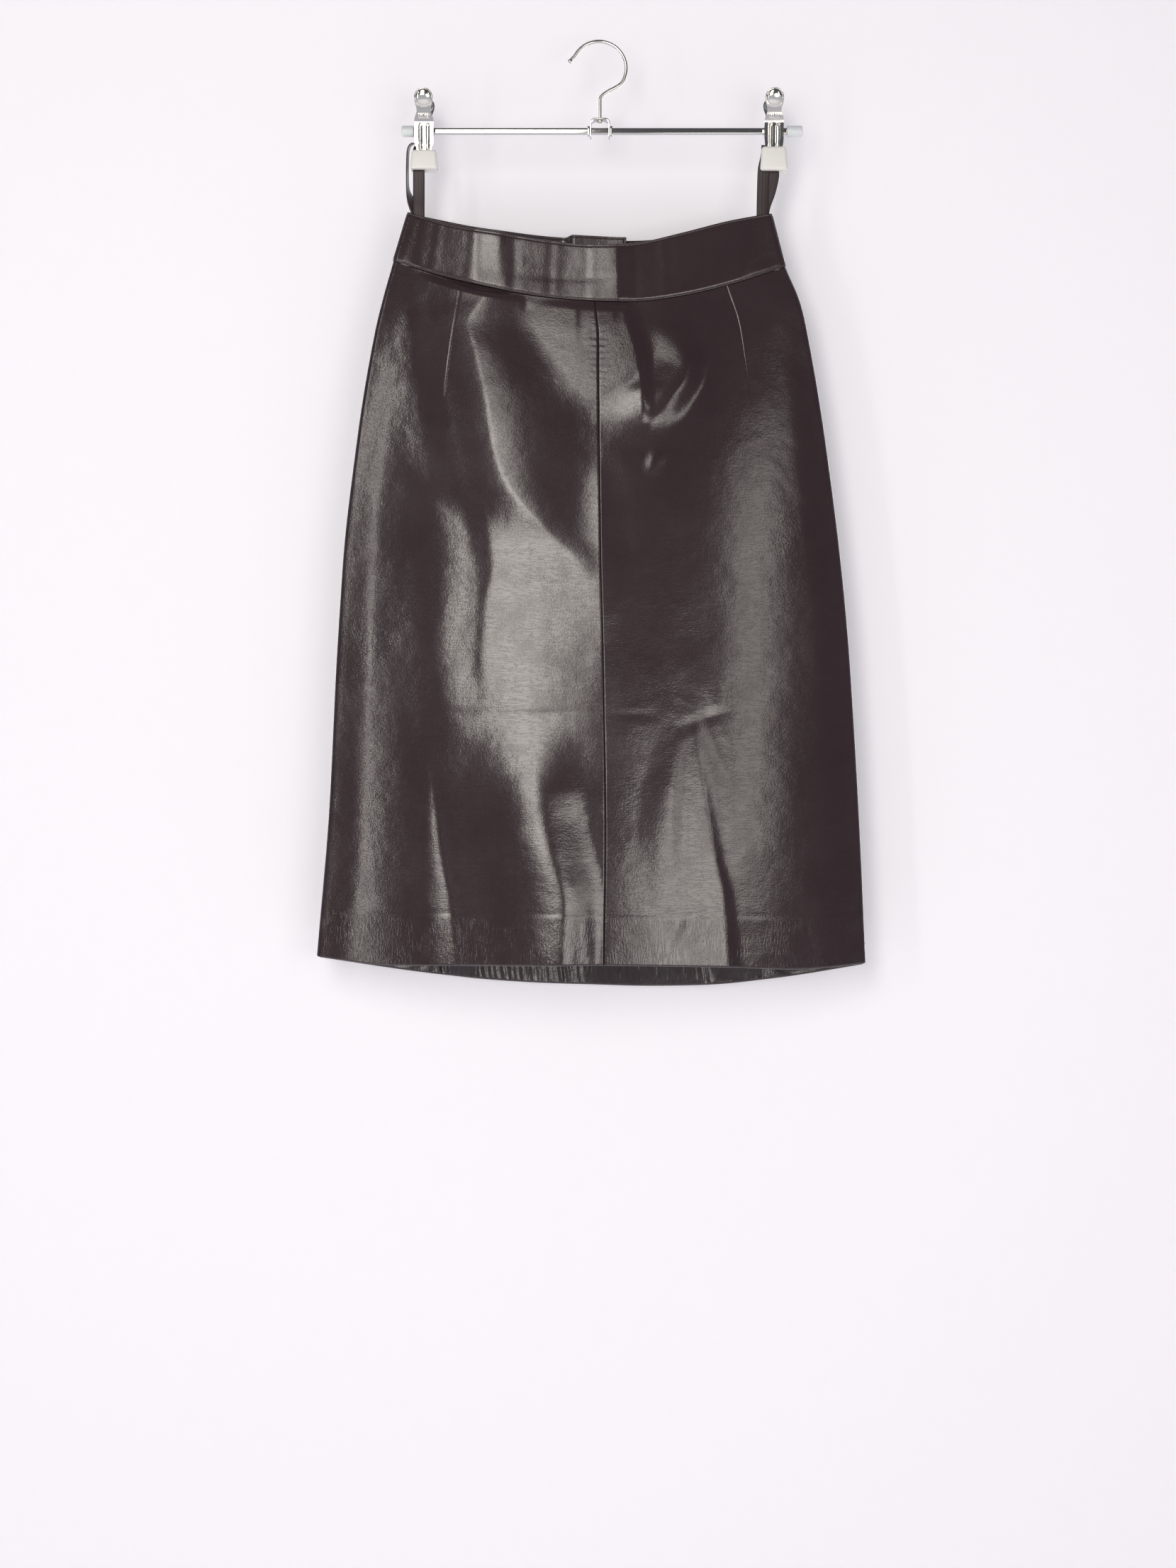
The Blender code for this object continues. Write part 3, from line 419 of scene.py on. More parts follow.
def tube(bm, stations, sides):  # a round bar along a route of (point, radius), closed at both ends
    points = [Vector(point) for point, radius in stations]
    across, lastRing = None, None
    for i, (point, radius) in enumerate(stations):
        heading = (points[min(i + 1, len(points) - 1)] - points[max(i - 1, 0)]).normalized()
        start = heading.orthogonal() if across is None else across
        across = (start - heading * heading.dot(start)).normalized()
        ends = placed(points[i], across, heading.cross(across), heading)
        circle = bmesh.ops.create_circle(bm, segments=sides, radius=radius, matrix=ends)
        ring = {edge for vert in circle["verts"] for edge in vert.link_edges}
        if lastRing is None:
            bmesh.ops.contextual_create(bm, geom=list(ring))
        else:
            bmesh.ops.bridge_loops(bm, edges=list(lastRing | ring))
        lastRing = ring
    bmesh.ops.contextual_create(bm, geom=list(lastRing))


def softenedCopy(name, node, material, radius, body="skirt"):
    # the CAD's own piece, with the edges that are sharper than 32 degrees rounded
    bm = bmesh.new()
    bm.from_mesh(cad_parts[node].data)
    bmesh.ops.remove_doubles(bm, verts=bm.verts, dist=1e-6)
    bmesh.ops.dissolve_limit(bm, angle_limit=math.radians(1), verts=bm.verts, edges=bm.edges)
    keen = [edge for edge in bm.edges if edge.is_manifold and edge.calc_face_angle() > math.radians(32)]
    bmesh.ops.bevel(
        bm, geom=keen, offset=radius * mm, segments=3, profile=0.5,
        affect="EDGES", material=-1, clamp_overlap=True,
    )
    addPiece(name, toMesh(name, bm), [material], [node], 40, body)


# the skirt's form

skirtForm = {
    "down": (-46, -22, 0, 30, 60, 120, 180, 240, 300, 360, 480, 602),  # below the waist seam
    "left": (-165.4, -172, -178.2, -186.7, -194, -204.8, -213.1, -220.2, -224.6, -228.2, -234.2, -244.4),
    "right": (149.4, 155.5, 161.5, 174.1, 181.1, 191.6, 200.2, 207.8, 214, 218.6, 225.6, 231),
    "front": (15, 15.5, 17, 20.5, 24, 30, 34, 37, 39, 41, 44, 46),
    "back": (16, 16.5, 17.5, 21, 24, 29, 32, 33.5, 34.5, 35, 36, 38),
    "sideRadius": 4.2,
    "sideShare": 0.03,
    "shoulder": (0.4, 0.84, 60),  # share by which the wall turns in, from where across, over what height
    "calmTo": 0.97,  # place across where the last fold has died out
    "topFade": 9.0,  # distance from the waist seam in which the folds grow
    "length": 602.0,
    "bandLength": 46.0,
    "seamGap": 0.3,
    "sewnGap": 0.02,  # at the inner face, where the stitching pulls the two cuts together
    "layer": 1.2,
    "hemLayer": 2.6,
    "hemHeight": 45.0,
    "bandProud": 1.0,
    "bandInner": 2.0,
    "centreFront": (0.028, 0.044),
    "centreBack": -0.09,
}

edgeHeights = {
    "across": (-1, -0.75, -0.5, -0.25, 0, 0.25, 0.5, 0.75, 1),
    "topFront": (-146.4, -160, -167.3, -173.7, -177.7, -176, -166.8, -156, -147.7),
    "topBack": (-146.4, -153.6, -159.3, -164, -166.5, -168, -164.5, -156.5, -147.7),
    "seamFront": (-188.8, -203.5, -214.5, -222.5, -226.5, -226.8, -220.5, -209, -193.7),
    "seamBack": (-188.8, -198, -205.5, -211, -213.5, -214, -210, -203, -193.7),
    "hemFront": (-791, -797, -797, -796.5, -796, -797, -798.5, -801, -797),
    "hemBack": (-791, -801.5, -810.5, -816, -818.7, -819.5, -817, -808.5, -797),
}

# Soft ridges (lift above 0) and troughs. Each row is a place along the fold, the centre there, the width
# before and after it, and the lift. "down" folds run down the skirt, so a row starts with a height and then a
# place across; "over" folds have these two the other way round. The number before the rows is 0 for a round
# crest and 1 for a creased one.
frontFolds = {
    "centreRidge": ("down", 0.7, (
        (-200, 14, 80, 16, 0.8), (-236, 22, 96, 14, 3.2), (-273, 33, 96, 12, 4.2), (-300, 37, 96, 10, 4.2),
        (-315, 38, 84, 9, 2.6), (-334, 38, 60, 9, 0),
    )),
    "hipRidge": ("down", 0.33, (
        (-190, -100, 84, 42, 5), (-222, -98, 80, 46, 4.8), (-242, -111, 72, 54, 5), (-273, -105, 74, 64, 6.2),
        (-316, -96, 86, 87, 7.4), (-359, -89, 82, 85, 7.4), (-387, -78, 76, 72, 6.6),
        (-409, -61, 70, 56, 4.6), (-430, -41, 70, 36, 2.3), (-450, -20, 80, 24, 1.1), (-470, -8, 70, 12, 0),
    )),
    "sideRidge": ("down", 0.1, (
        (-198, -174, 30, 20, 0.2), (-236, -166, 36, 24, 0.7), (-300, -158, 46, 26, 1),
        (-344, -152, 50, 28, 1), (-403, -140, 50, 26, 0.7), (-438, -134, 50, 26, 0.5),
        (-490, -138, 46, 30, 0.9), (-524, -142, 40, 34, 1.1), (-560, -136, 36, 32, 0.9),
        (-585, -128, 36, 28, 0.5), (-610, -120, 36, 26, 0),
    )),
    "dartRidge": ("down", 0.3, (
        (-395, -102, 16, 40, 0), (-438, -92, 19, 44, 1.1), (-464, -91, 15, 46, 0.8), (-485, -96, 9, 30, 0.35),
        (-536, -100, 7, 20, 0.25), (-560, -100, 7, 20, 0),
    )),
    "seamTent": ("down", 1, (
        (-360, 1, 24, 16, 0), (-390, 1, 30, 20, 1), (-430, 1.5, 45, 25, 1.8), (-480, 2, 50, 30, 2),
        (-520, 2, 44, 30, 1.2), (-560, 2.5, 40, 30, 0.4), (-600, 3, 30, 30, 0),
    )),
    "leftHemTrough": ("down", 1, (
        (-616, -144, 4, 14, 0), (-650, -141, 7, 20, -0.5), (-701, -135, 16, 28, -1.1),
        (-740, -128, 24, 34, -1.6), (-805, -121, 32, 38, -2),
    )),
    "lowerRise": ("down", 0.1, (
        (-590, -56, 60, 46, 0), (-630, -56, 66, 46, 2.8), (-655, -54, 70, 46, 5), (-683, -48, 74, 44, 6.2),
        (-708, -41, 76, 42, 6.6), (-740, -32, 78, 38, 7), (-783, -33, 76, 36, 7.2), (-805, -34, 74, 36, 7.2),
    )),
    "seamHemRidge": ("down", 0.4, ((-735, -13, 8, 7, 0), (-760, -11, 9, 7, 0.4), (-805, -8, 10, 7, 0.7))),
    "rightHemRidge": ("down", 0.8, (
        (-585, 80, 20, 10, 0), (-610, 83, 26, 10, 0.5), (-658, 91, 32, 11, 1), (-707, 99, 36, 12, 1.4),
        (-740, 106, 40, 13, 1.7), (-805, 111, 42, 14, 1.9),
    )),
    "rightHemFlute": ("down", 0.2, (
        (-592, 70, 20, 9, 0), (-615, 66, 24, 11, 0.8), (-645, 62, 28, 13, 1.3), (-680, 60, 30, 14, 1.2),
        (-725, 62, 28, 13, 0.6), (-770, 68, 20, 10, 0),
    )),
    "kneeRise": ("over", 0.2, (
        (-150, -638, 30, 24, 0), (-110, -642, 34, 26, 0.6), (-62, -646, 34, 28, 1.15),
        (-22, -650, 30, 26, 0.7), (8, -652, 28, 24, 0),
    )),
    "hemDent": ("down", 0.3, (
        (-735, 86, 12, 14, 0), (-756, 80, 12, 14, -0.4), (-772, 73, 12, 14, -0.5), (-795, 66, 12, 14, 0),
    )),
    "hipSwell": ("down", 0.25, (
        (-244, 64, 24, 18, 0), (-260, 70, 30, 19, 2.4), (-280, 75, 36, 20, 4.2), (-296, 71, 46, 22, 4.7),
        (-310, 62, 60, 24, 4.7), (-324, 52, 60, 26, 3.8), (-338, 42, 52, 25, 1.5), (-354, 34, 40, 20, 0),
    )),
    "hipDentCore": ("down", 0.2, (
        (-280, 75, 9, 9, 0), (-292, 72, 11, 10, -0.25), (-304, 67, 12, 11, -0.35), (-318, 58, 12, 11, -0.25),
        (-336, 48, 10, 10, 0),
    )),
    "hipSpot": ("down", 0.2, ((-352, 50, 9, 14, 0), (-366, 47, 10, 14, 1), (-380, 44, 9, 14, 0))),
    "pinchDown": ("down", 0.3, (
        (-550, 92, 9, 13, 0), (-578, 90, 10, 14, -0.35), (-606, 98, 10, 16, -0.45), (-650, 118, 9, 15, 0),
    )),
    "pinchAcross": ("over", 0.3, (
        (62, -600, 11, 10, 0), (78, -591, 11, 10, -0.35), (95, -584, 11, 10, -0.45), (117, -580, 11, 10, 0),
    )),
    "storeCrease": ("over", 0.3, (
        (-152, -583, 8, 7, 0), (-122, -581, 8, 7, -0.26), (-98, -582, 8, 7, -0.08), (-62, -583, 8, 7, -0.3),
        (-26, -581, 8, 7, -0.26), (-4, -582, 8, 7, -0.08), (30, -583, 8, 7, -0.16), (58, -584, 8, 7, 0),
    )),
    "gatherLeft": ("down", 0.3, ((-205, -66, 6, 6, -0.25), (-222, -64, 6, 7, -0.25), (-242, -62, 5, 6, 0))),
    "gatherMiddle": ("down", 0.3, (
        (-215, -15.4, 5, 6, -0.4), (-236, -15.6, 5, 7, -0.4), (-266, -16, 5, 6, 0),
    )),
    "gatherRight": ("down", 0.3, ((-215, 15.4, 4, 4, -0.5), (-232, 15.6, 4, 5, -0.4), (-248, 16, 5, 5, 0))),
}

frontBandFolds = {
    "bandCrest": ("down", 0.5, ((-150, 16, 50, 14, 2), (-200, 17, 50, 14, 2.2), (-240, 18, 50, 14, 2.4))),
    "bandHip": ("down", 0.7, (
        (-130, -104, 84, 96, 4.2), (-180, -106, 84, 98, 4.5), (-240, -106, 84, 96, 4.2),
    )),
    "bandFlute": ("down", 0.3, (
        (-150, -84, 16, 12, 0.4), (-176, -86, 16, 12, 0.9), (-215, -84, 18, 14, 0.3),
    )),
    "bandMark": ("down", 0.3, ((-160, 128, 16, 12, 0.2), (-185, 126, 16, 12, 0.7), (-222, 124, 18, 14, 0.4))),
    "bandCrease": ("over", 0.4, (
        (-104, -199, 8, 6, 0), (-66, -203, 8, 6, -0.35), (-32, -206, 8, 6, -0.5), (0, -206, 8, 6, -0.35),
        (18, -205, 7, 6, 0),
    )),
}

backFolds = {
    "seatLeft": ("down", 0.2, (
        (-230, -110, 24, 50, 0), (-290, -104, 30, 60, 2.6), (-360, -92, 34, 64, 3.4), (-420, -70, 40, 60, 3),
        (-470, -48, 44, 50, 1.4), (-500, -40, 44, 44, 0),
    )),
    "seatRight": ("down", 0.2, (
        (-240, 84, 40, 26, 0), (-310, 88, 50, 28, 2.2), (-390, 84, 54, 30, 3.2), (-450, 66, 50, 34, 2.4),
        (-510, 50, 44, 34, 0),
    )),
    "belowZip": ("down", 0.3, (
        (-410, -24, 24, 30, 0), (-440, -20, 26, 34, -1.8), (-480, -14, 28, 36, -1.6), (-520, -8, 28, 30, 0),
    )),
    "leftFlute": ("down", 0.7, (
        (-600, -150, 20, 14, 0), (-660, -146, 34, 20, 1.8), (-730, -138, 44, 24, 3.6),
        (-822, -128, 50, 28, 4.6),
    )),
    "middleFlute": ("down", 0.4, (
        (-560, -30, 40, 40, 0), (-640, -22, 50, 50, 2.4), (-740, -14, 60, 56, 3.6), (-822, -8, 62, 60, 4),
    )),
    "rightFlute": ("down", 0.6, (
        (-620, 118, 30, 18, 0), (-690, 124, 44, 24, 2.4), (-760, 134, 54, 26, 4), (-822, 140, 56, 28, 4.6),
    )),
    "thighPinch": ("down", 0.5, (
        (-540, 96, 14, 10, 0), (-566, 86, 18, 10, -1.2), (-590, 74, 16, 10, -1), (-612, 62, 12, 8, 0),
    )),
    "storeCrease": ("over", 0.8, (
        (-176, -588, 4, 2.5, 0), (-90, -590, 4, 2.5, -0.4), (10, -592, 4, 2.5, -0.45),
        (90, -590, 4, 2.5, -0.3), (150, -588, 4, 2.5, 0),
    )),
}

backBandFolds = {
    "bandSeat": ("down", 0.3, ((-150, 60, 40, 30, 1.4), (-240, 62, 42, 34, 1.8))),
    "bandTurn": ("down", 0.3, ((-150, -110, 24, 30, 1.6), (-240, -112, 26, 34, 2))),
}


def readCurve(keys, values, at):  # a smooth curve through a short table, read at each value of an array
    keys, values = np.asarray(keys, float), np.asarray(values, float)
    slopes = np.empty_like(values)
    slopes[1:-1] = (values[2:] - values[:-2]) / (keys[2:] - keys[:-2])
    slopes[0] = (values[1] - values[0]) / (keys[1] - keys[0])
    slopes[-1] = (values[-1] - values[-2]) / (keys[-1] - keys[-2])
    at = np.clip(at, keys[0], keys[-1])
    i = np.clip(np.searchsorted(keys, at, side="right") - 1, 0, len(keys) - 2)
    span = keys[i + 1] - keys[i]
    t = (at - keys[i]) / span
    return (
        (2 * t**3 - 3 * t**2 + 1) * values[i]
        + (t**3 - 2 * t**2 + t) * span * slopes[i]
        + (3 * t**2 - 2 * t**3) * values[i + 1]
        + (t**3 - t**2) * span * slopes[i + 1]
    )


def readForm(name, down):
    return readCurve(skirtForm["down"], skirtForm[name], down)


def readEdge(name, across):
    return readCurve(edgeHeights["across"], edgeHeights[name], across)


def halfWidth(down):
    return (readForm("right", down) - readForm("left", down)) / 2


def foldLift(fold, x, z):
    runs, sharp, rows = fold
    along, off = (z, x) if runs == "down" else (x, z)
    rows = sorted(rows)
    keys = [row[0] for row in rows]
    centre, before, after, lift = (readCurve(keys, [row[i] for row in rows], along) for i in (1, 2, 3, 4))
    inside = along < keys[-1] if runs == "down" else (along > keys[0]) & (along < keys[-1])
    gap = off - centre
    d = np.clip(np.where(gap > 0, gap / np.maximum(after, 0.1), -gap / np.maximum(before, 0.1)), 0, 1)
    return np.where(inside, lift * (1 - d) ** 2 * (1 + 2 * (1 - sharp) * d), 0.0)


def ringPoint(side, across, down, inset):  # place across, and distance outwards, of the wall
    left, right, depth = (readForm(name, down) for name in ("left", "right", side))
    radius, flatShare = skirtForm["sideRadius"], 1 - skirtForm["sideShare"]
    middle, half, bulge = (left + right) / 2, (right - left) / 2 - radius, depth - radius
    lens = np.clip(across / flatShare, -1, 1)
    lean = np.arctan(2 * bulge * lens / half)
    past = np.maximum(0.0, np.abs(across) - flatShare) / skirtForm["sideShare"]
    lean = lean + np.copysign(past * (math.pi / 2 - np.abs(lean)), across)
    reach = radius - inset
    return middle + half * lens + reach * np.sin(lean), bulge * (1 - lens**2) + reach * np.cos(lean)


def wallPoint(side, across, down, inset, z, folds, fade=1.0, calmFrom=0.8):
    x, outward = ringPoint(side, across, down, inset)
    calm = 1 - smoothStep((np.abs(across) - calmFrom) / (skirtForm["calmTo"] - calmFrom))
    turn, start, height = skirtForm["shoulder"]
    turnIn = np.clip((np.abs(across) - start) / (1 - start), 0, 1) ** 2 * np.clip(1 + down / height, 0, 1)
    relief = sum(foldLift(fold, x, z) for fold in folds.values())
    away = outward * (1 - turn * turnIn) + relief * calm * fade + skirtForm["seamGap"] / 2
    return np.stack(np.broadcast_arrays(x, -away if side == "front" else away, z), axis=-1)


def panelPoint(side, across, down, inset):
    seam, hem = (readEdge(name + side.capitalize(), across) for name in ("seam", "hem"))
    z = seam + (hem - seam) * down / skirtForm["length"]
    folds = frontFolds if side == "front" else backFolds
    return wallPoint(side, across, down, inset, z, folds, smoothStep(down / skirtForm["topFade"]))


# the zip, the underlap and their places

closure = {
    "zipLength": 190.0,
    "zipChannel": 9.0,
    "zipClosing": 12.0,
    "underlap": 48.0,
    "lapInset": 6.9,
    "lapRaise": 1.6,
    "lapBend": (0.045, 0.004),
}

centreBack = skirtForm["centreBack"]
bandHalf = float(halfWidth(-20.0))
lapEnd = centreBack + closure["underlap"] / bandHalf


def bandPoint(side, across, down, inset, lapped=False):
    share = 0.0 * across
    if lapped:
        start, end = (centreBack - bend for bend in closure["lapBend"])
        share = smoothStep((across - start) / (end - start))
    seam, top = (readEdge(name + side.capitalize(), across) for name in ("seam", "top"))
    z = seam + (top - seam) * -down / skirtForm["bandLength"]
    folds = frontBandFolds if side == "front" else backBandFolds
    point = wallPoint(side, across, down, inset + share * closure["lapInset"], z, folds, calmFrom=0.9)
    point[..., 2] += share * closure["lapRaise"]
    return point


# panels

panelCut = {
    "darts": {"frontleft": -0.64, "frontright": 0.69, "backleft": -0.55, "backright": 0.42},
    "dartLength": 104.0,
    "dartDepth": 0.42,
    "dartWidth": 1.1,
    "dartColumns": (3.2, 2.0, 1.3, 0.8, 0.4),
    "edgeColumns": (0, 0.3, 0.7, 1.2, 1.9, 2.8),
    "rowStep": {"front": 1.5, "back": 2.0},  # in the upper part, where the small folds are
    "seamRound": 1.05,
    "hemRound": 1.25,
    "hemPress": (0.1, 0.05),  # step and crease where the turned-up edge shows through
    "hemWrinkle": 0.3,
    "ladder": 0.06,
}


def seamEdge(side, sideAt, down, gap):
    if side == "front":
        first, last = skirtForm["centreFront"]
        return first + (last - first) * down / skirtForm["length"] + sideAt * gap / 2 / halfWidth(down)
    closing = np.clip((closure["zipLength"] - down) / closure["zipClosing"], 0, 1)
    opening = gap + (closure["zipChannel"] - gap) * closing
    return centreBack + sideAt * opening / 2 / halfWidth(down)


def panelColumns():  # two anchors (side seam, end of the side fold, dart, centre edge), share, inward shift
    dart, near = panelCut["dartColumns"], panelCut["edgeColumns"]
    reach, last = dart[0] + 1.2, near[-1] + 1.2
    columns = [(0, 1, share, 0.0) for share in spread(0, 1, 8)]
    columns += [(1, 2, share, -reach * share) for share in spread(0, 1, 26)[1:]]
    columns += [(2, 2, 0, shift) for shift in [-offset for offset in dart] + [0.0, *reversed(dart)]]
    columns += [(2, 3, share, reach - (reach + last) * share) for share in spread(0, 1, 58)]
    columns += [(3, 3, 0, -offset) for offset in reversed(near)]
    return np.array(columns)


def panelRows(fine):  # closer together at the seams, at the level crease and on the hem
    length, near = skirtForm["length"], panelCut["edgeColumns"]
    hemTop = length - skirtForm["hemHeight"]
    rows = [*near, *np.arange(4.4, 250, fine), *np.arange(251.5, 360, 2.3), *np.arange(362, 386, 1.2)]
    rows += [*np.arange(387.5, hemTop - 3, 2.3), hemTop - 1.6, hemTop - 0.6]
    rows += [*np.arange(hemTop + 0.5, length - 3.2, 1.6), *(length - offset for offset in reversed(near))]
    return np.array(rows)


def seamLadder(side, x, z, seamX):  # short level puckers that the centre seam's stitching draws up
    off = x - seamX
    wave = np.sin(2 * math.pi * z / 5.6 + 1.7 * np.sin(z / 17.0) + 0.8 * np.sin(z / 7.3))
    strength = 0.35 + 0.2 * np.sin(z / 23.0)
    if side == "front":
        upper = smoothStep((-z - 250) / 14) * (1 - smoothStep((-z - 326) / 12))
        lower = smoothStep((-z - 372) / 25) * (1 - smoothStep((-z - 455) / 25)) * (off < 0)
        strength = upper + 0.8 * lower + 0.25
    return panelCut["ladder"] * wave * strength * dip(np.abs(off) - 3.5, 3.7)


def makePanel(side, hand):
    sideAt = -1 if hand == "left" else 1
    columns, rows = panelColumns(), panelRows(panelCut["rowStep"][side])
    length, hemTop = skirtForm["length"], skirtForm["length"] - skirtForm["hemHeight"]
    dartAt = panelCut["darts"][side + hand]

    def place(column, row, inner):
        down = rows[row]
        half = halfWidth(down)
        edge = seamEdge(side, sideAt, down, np.where(inner, skirtForm["sewnGap"], skirtForm["seamGap"]))
        fold = sideAt * (1 - skirtForm["sideShare"])
        anchors = np.stack(np.broadcast_arrays(float(sideAt), fold, dartAt, edge))
        index = np.arange(len(column))
        start, end = (anchors[columns[column, i].astype(int), index] for i in (0, 1))
        across = start + (end - start) * columns[column, 2] - sideAt * columns[column, 3] / half
        fromHem, pastHem = length - down, down - hemTop
        fromEdge = np.abs(across - edge) * half
        fromSide = (1 - np.abs(across)) / skirtForm["sideShare"] * skirtForm["sideRadius"] * math.pi / 2
        turnUp = smoothStep(pastHem / 1.2)
        thick = skirtForm["layer"] + (skirtForm["hemLayer"] - skirtForm["layer"]) * turnUp
        seamRoll = edgeRoll(np.minimum(fromEdge, fromSide), panelCut["seamRound"])
        hemRoll = edgeRoll(fromHem, panelCut["hemRound"])
        outerInset = np.maximum(np.minimum(seamRoll, thick - 0.1), np.minimum(hemRoll, 1.22))
        point = panelPoint(side, across, down, np.where(inner, thick - 0.96 * hemRoll, outerInset))
        x, z = point[:, 0], point[:, 2]
        seamX = panelPoint(side, edge, down, 0.0)[:, 0]
        ripple = np.sin(2 * math.pi * x / 5.1 + 1.6 * np.sin(x / 9.0) + z / 7.0)
        ripple += 0.5 * np.sin(2 * math.pi * x / 8.3 + z / 11.0)
        step, crease = panelCut["hemPress"]
        outward = step * smoothStep((pastHem + 1.5) / 3.5) - crease * dip(pastHem + 1.2, 1.6)
        outward -= np.where(inner, panelCut["hemWrinkle"] * ripple * turnUp * smoothStep(fromHem / 4), 0)
        outward += np.where(inner, 0, seamLadder(side, x, z, seamX))
        dartOff = np.clip(np.abs(across - dartAt) * half / panelCut["dartWidth"], 0, 1)
        deep = panelCut["dartDepth"] * np.clip(1 - down / panelCut["dartLength"], 0, 1) ** 0.5
        outward -= deep * (1 - dartOff) ** 2
        point[:, 1] += (-1 if side == "front" else 1) * outward
        point[:, 2] -= np.where(down <= 0, skirtForm["seamGap"], 0)
        hem, upper = smoothStep(pastHem / 5), 1 - smoothStep((-z - 330) / 120)
        zones = {"hemLines": hem, "slants": upper * 0.8, "ribs": (1 - upper) * (1 - hem)}
        return point, np.stack([across * half, down], axis=-1), zones

    name = f"{side}Panel{hand.capitalize()}"
    mesh = clothWall(name, len(columns) - 1, len(rows) - 1, place, lambda column, row: rows[row] < hemTop)
    addCloth(mesh, [leather, flesh], [f"{side}_panel_{hand}"])


for side in ("front", "back"):
    for hand in ("left", "right"):
        makePanel(side, hand)
print("panels ready")


# waistband

bandCut = {
    "edgeRound": 1.35,
    "stitchFromEdge": 1.6,
    "grooveDepth": 0.34,
    "grooveWidth": 0.55,
    "edgeRows": (0, 0.25, 0.55, 0.9, 1.25, 1.6, 1.95, 2.35, 2.9, 3.8),
    "middleFrom": 6.0,
    "columnStep": 2.4,
    "puff": (0.12, 0.07),  # how far the middle swells, and how uneven that is
    "endInset": 0.01,
}


def bandRows():
    near, length, start = bandCut["edgeRows"], skirtForm["bandLength"], bandCut["middleFrom"]
    rows = [-length + d for d in (*near, *spread(start, length - start, 15))]
    return np.array(rows + [-bandCut["endInset"] - d for d in reversed(near)])


def bandColumns(start, end):  # places across with a shift in millimetres, closer together at the ends
    share, near, reach = skirtForm["sideShare"], bandCut["edgeRows"], bandCut["middleFrom"] / bandHalf
    folds = spread(0, share, 8)[:-1]
    low, high = start + reach, end - reach
    first, last = [(start, d) for d in near], [(end, -d) for d in reversed(near)]
    if start == -1:
        low, first = -1 + share, [(-1 + fold, 0.0) for fold in folds]
    if end == 1:
        high, last = 1 - share, [(1 - fold, 0.0) for fold in reversed(folds)]
    steps = round((high - low) * bandHalf / bandCut["columnStep"])
    return np.array([*first, *((at, 0.0) for at in spread(low, high, steps)), *last])


def makeBand(name, side, start, end, node, lapped=False):
    columns, rows = bandColumns(start, end), bandRows()

    def place(column, row, inner):
        down = rows[row]
        half = halfWidth(down)
        across = columns[column, 0] + columns[column, 1] / half
        fromEdge = np.minimum(down + skirtForm["bandLength"], -bandCut["endInset"] - down)
        ends = [np.abs(across - at) * half for at in (start, end) if abs(at) < 1]
        fromEnd = np.minimum.reduce(ends) if ends else np.full_like(down, 99.0)
        roll = edgeRoll(np.minimum(fromEdge, fromEnd), bandCut["edgeRound"])
        line, width = bandCut["stitchFromEdge"], bandCut["grooveWidth"]
        groove = np.maximum(dip(fromEdge - line, width), dip(fromEnd - line, width))
        swell, uneven = bandCut["puff"]
        puff = swell * smoothStep((fromEdge - line) / 3)
        puff = puff + uneven * np.sin(across * half / 4.3 + 2 * np.sin(across * 31))
        sunk = roll + bandCut["grooveDepth"] * groove
        inset = np.where(inner, skirtForm["bandInner"] - sunk, -skirtForm["bandProud"] + sunk - puff + swell)
        point = bandPoint(side, across, down, inset, lapped)
        zero = np.zeros_like(down)
        zones = {"hemLines": zero, "slants": zero, "ribs": zero + 0.35}
        return point, np.stack([across * half, down], axis=-1), zones

    mesh = clothWall(name, len(columns) - 1, len(rows) - 1, place)
    addCloth(mesh, [leather], [node])


makeBand("waistbandFront", "front", -1, 1, "waistband_front")
makeBand("waistbandBackLeft", "back", -1, lapEnd, "waistband_back_left", lapped=True)
makeBand("waistbandBackRight", "back", centreBack, 1, "waistband_back_right")
print("waistband ready")


# stitches

stitch = {
    "length": 1.85,
    "width": 0.72,
    "height": 0.56,
    "pitch": 2.3,
    "sunk": 0.75,  # as a share of the groove
    "to": 0.985,  # place across where the waistband's rows stop at the side seams
    "fromZip": 6.0,
}


def sew(here, beside, sign, rng):
    # Places of stitches on a line, at an even pitch but each a little uneven. They stand square to the line
    # and to beside, and face the front for a sign of -1 and the back for 1.
    out = np.cross(beside, np.gradient(here, axis=0))
    out = out / np.linalg.norm(out, axis=1)[:, None]
    out = out * np.where(out[:, 1:2] * sign > 0, 1, -1)
    steps = np.linalg.norm(np.diff(here, axis=0), axis=1)
    reach = np.concatenate([[0.0], np.cumsum(steps)])
    places, at, half = [], stitch["pitch"] / 2, stitch["length"] / 2
    while at < reach[-1]:
        spots = [at + shift + rng.uniform(-0.08, 0.08) for shift in (-half, half)]
        ends = [Vector([np.interp(spot, reach, here[:, i]) for i in range(3)]) for spot in spots]
        outward = Vector([np.interp(at, reach, out[:, i]) for i in range(3)]).normalized()
        along = ends[1] - ends[0]
        heading = along.normalized()
        shape = Matrix.Diagonal((stitch["width"] / 2, stitch["height"] / 2, along.length / 2, 1))
        lifted = (ends[0] + ends[1]) / 2 + outward * rng.uniform(0.0, 0.04)
        places.append(placed(lifted, heading.cross(outward), outward, heading) @ shape)
        at += stitch["pitch"]
    return places


def sewAcross(point, low, high, down, samples, sign, rng):  # a row of stitches across the cloth
    across = np.linspace(low, high, samples)
    here, above = (point(across, np.full(samples, at)) for at in (down, down - 1.0))
    return sew(here, above - here, sign, rng)


def scatter(name, unit, places):  # one mesh of many small ones
    bm = bmesh.new()
    for place in places:
        part = unit.copy()
        part.transform(place)
        bm.from_mesh(part)
        bpy.data.meshes.remove(part)
    bpy.data.meshes.remove(unit)
    return inMillimetres(name, bm)


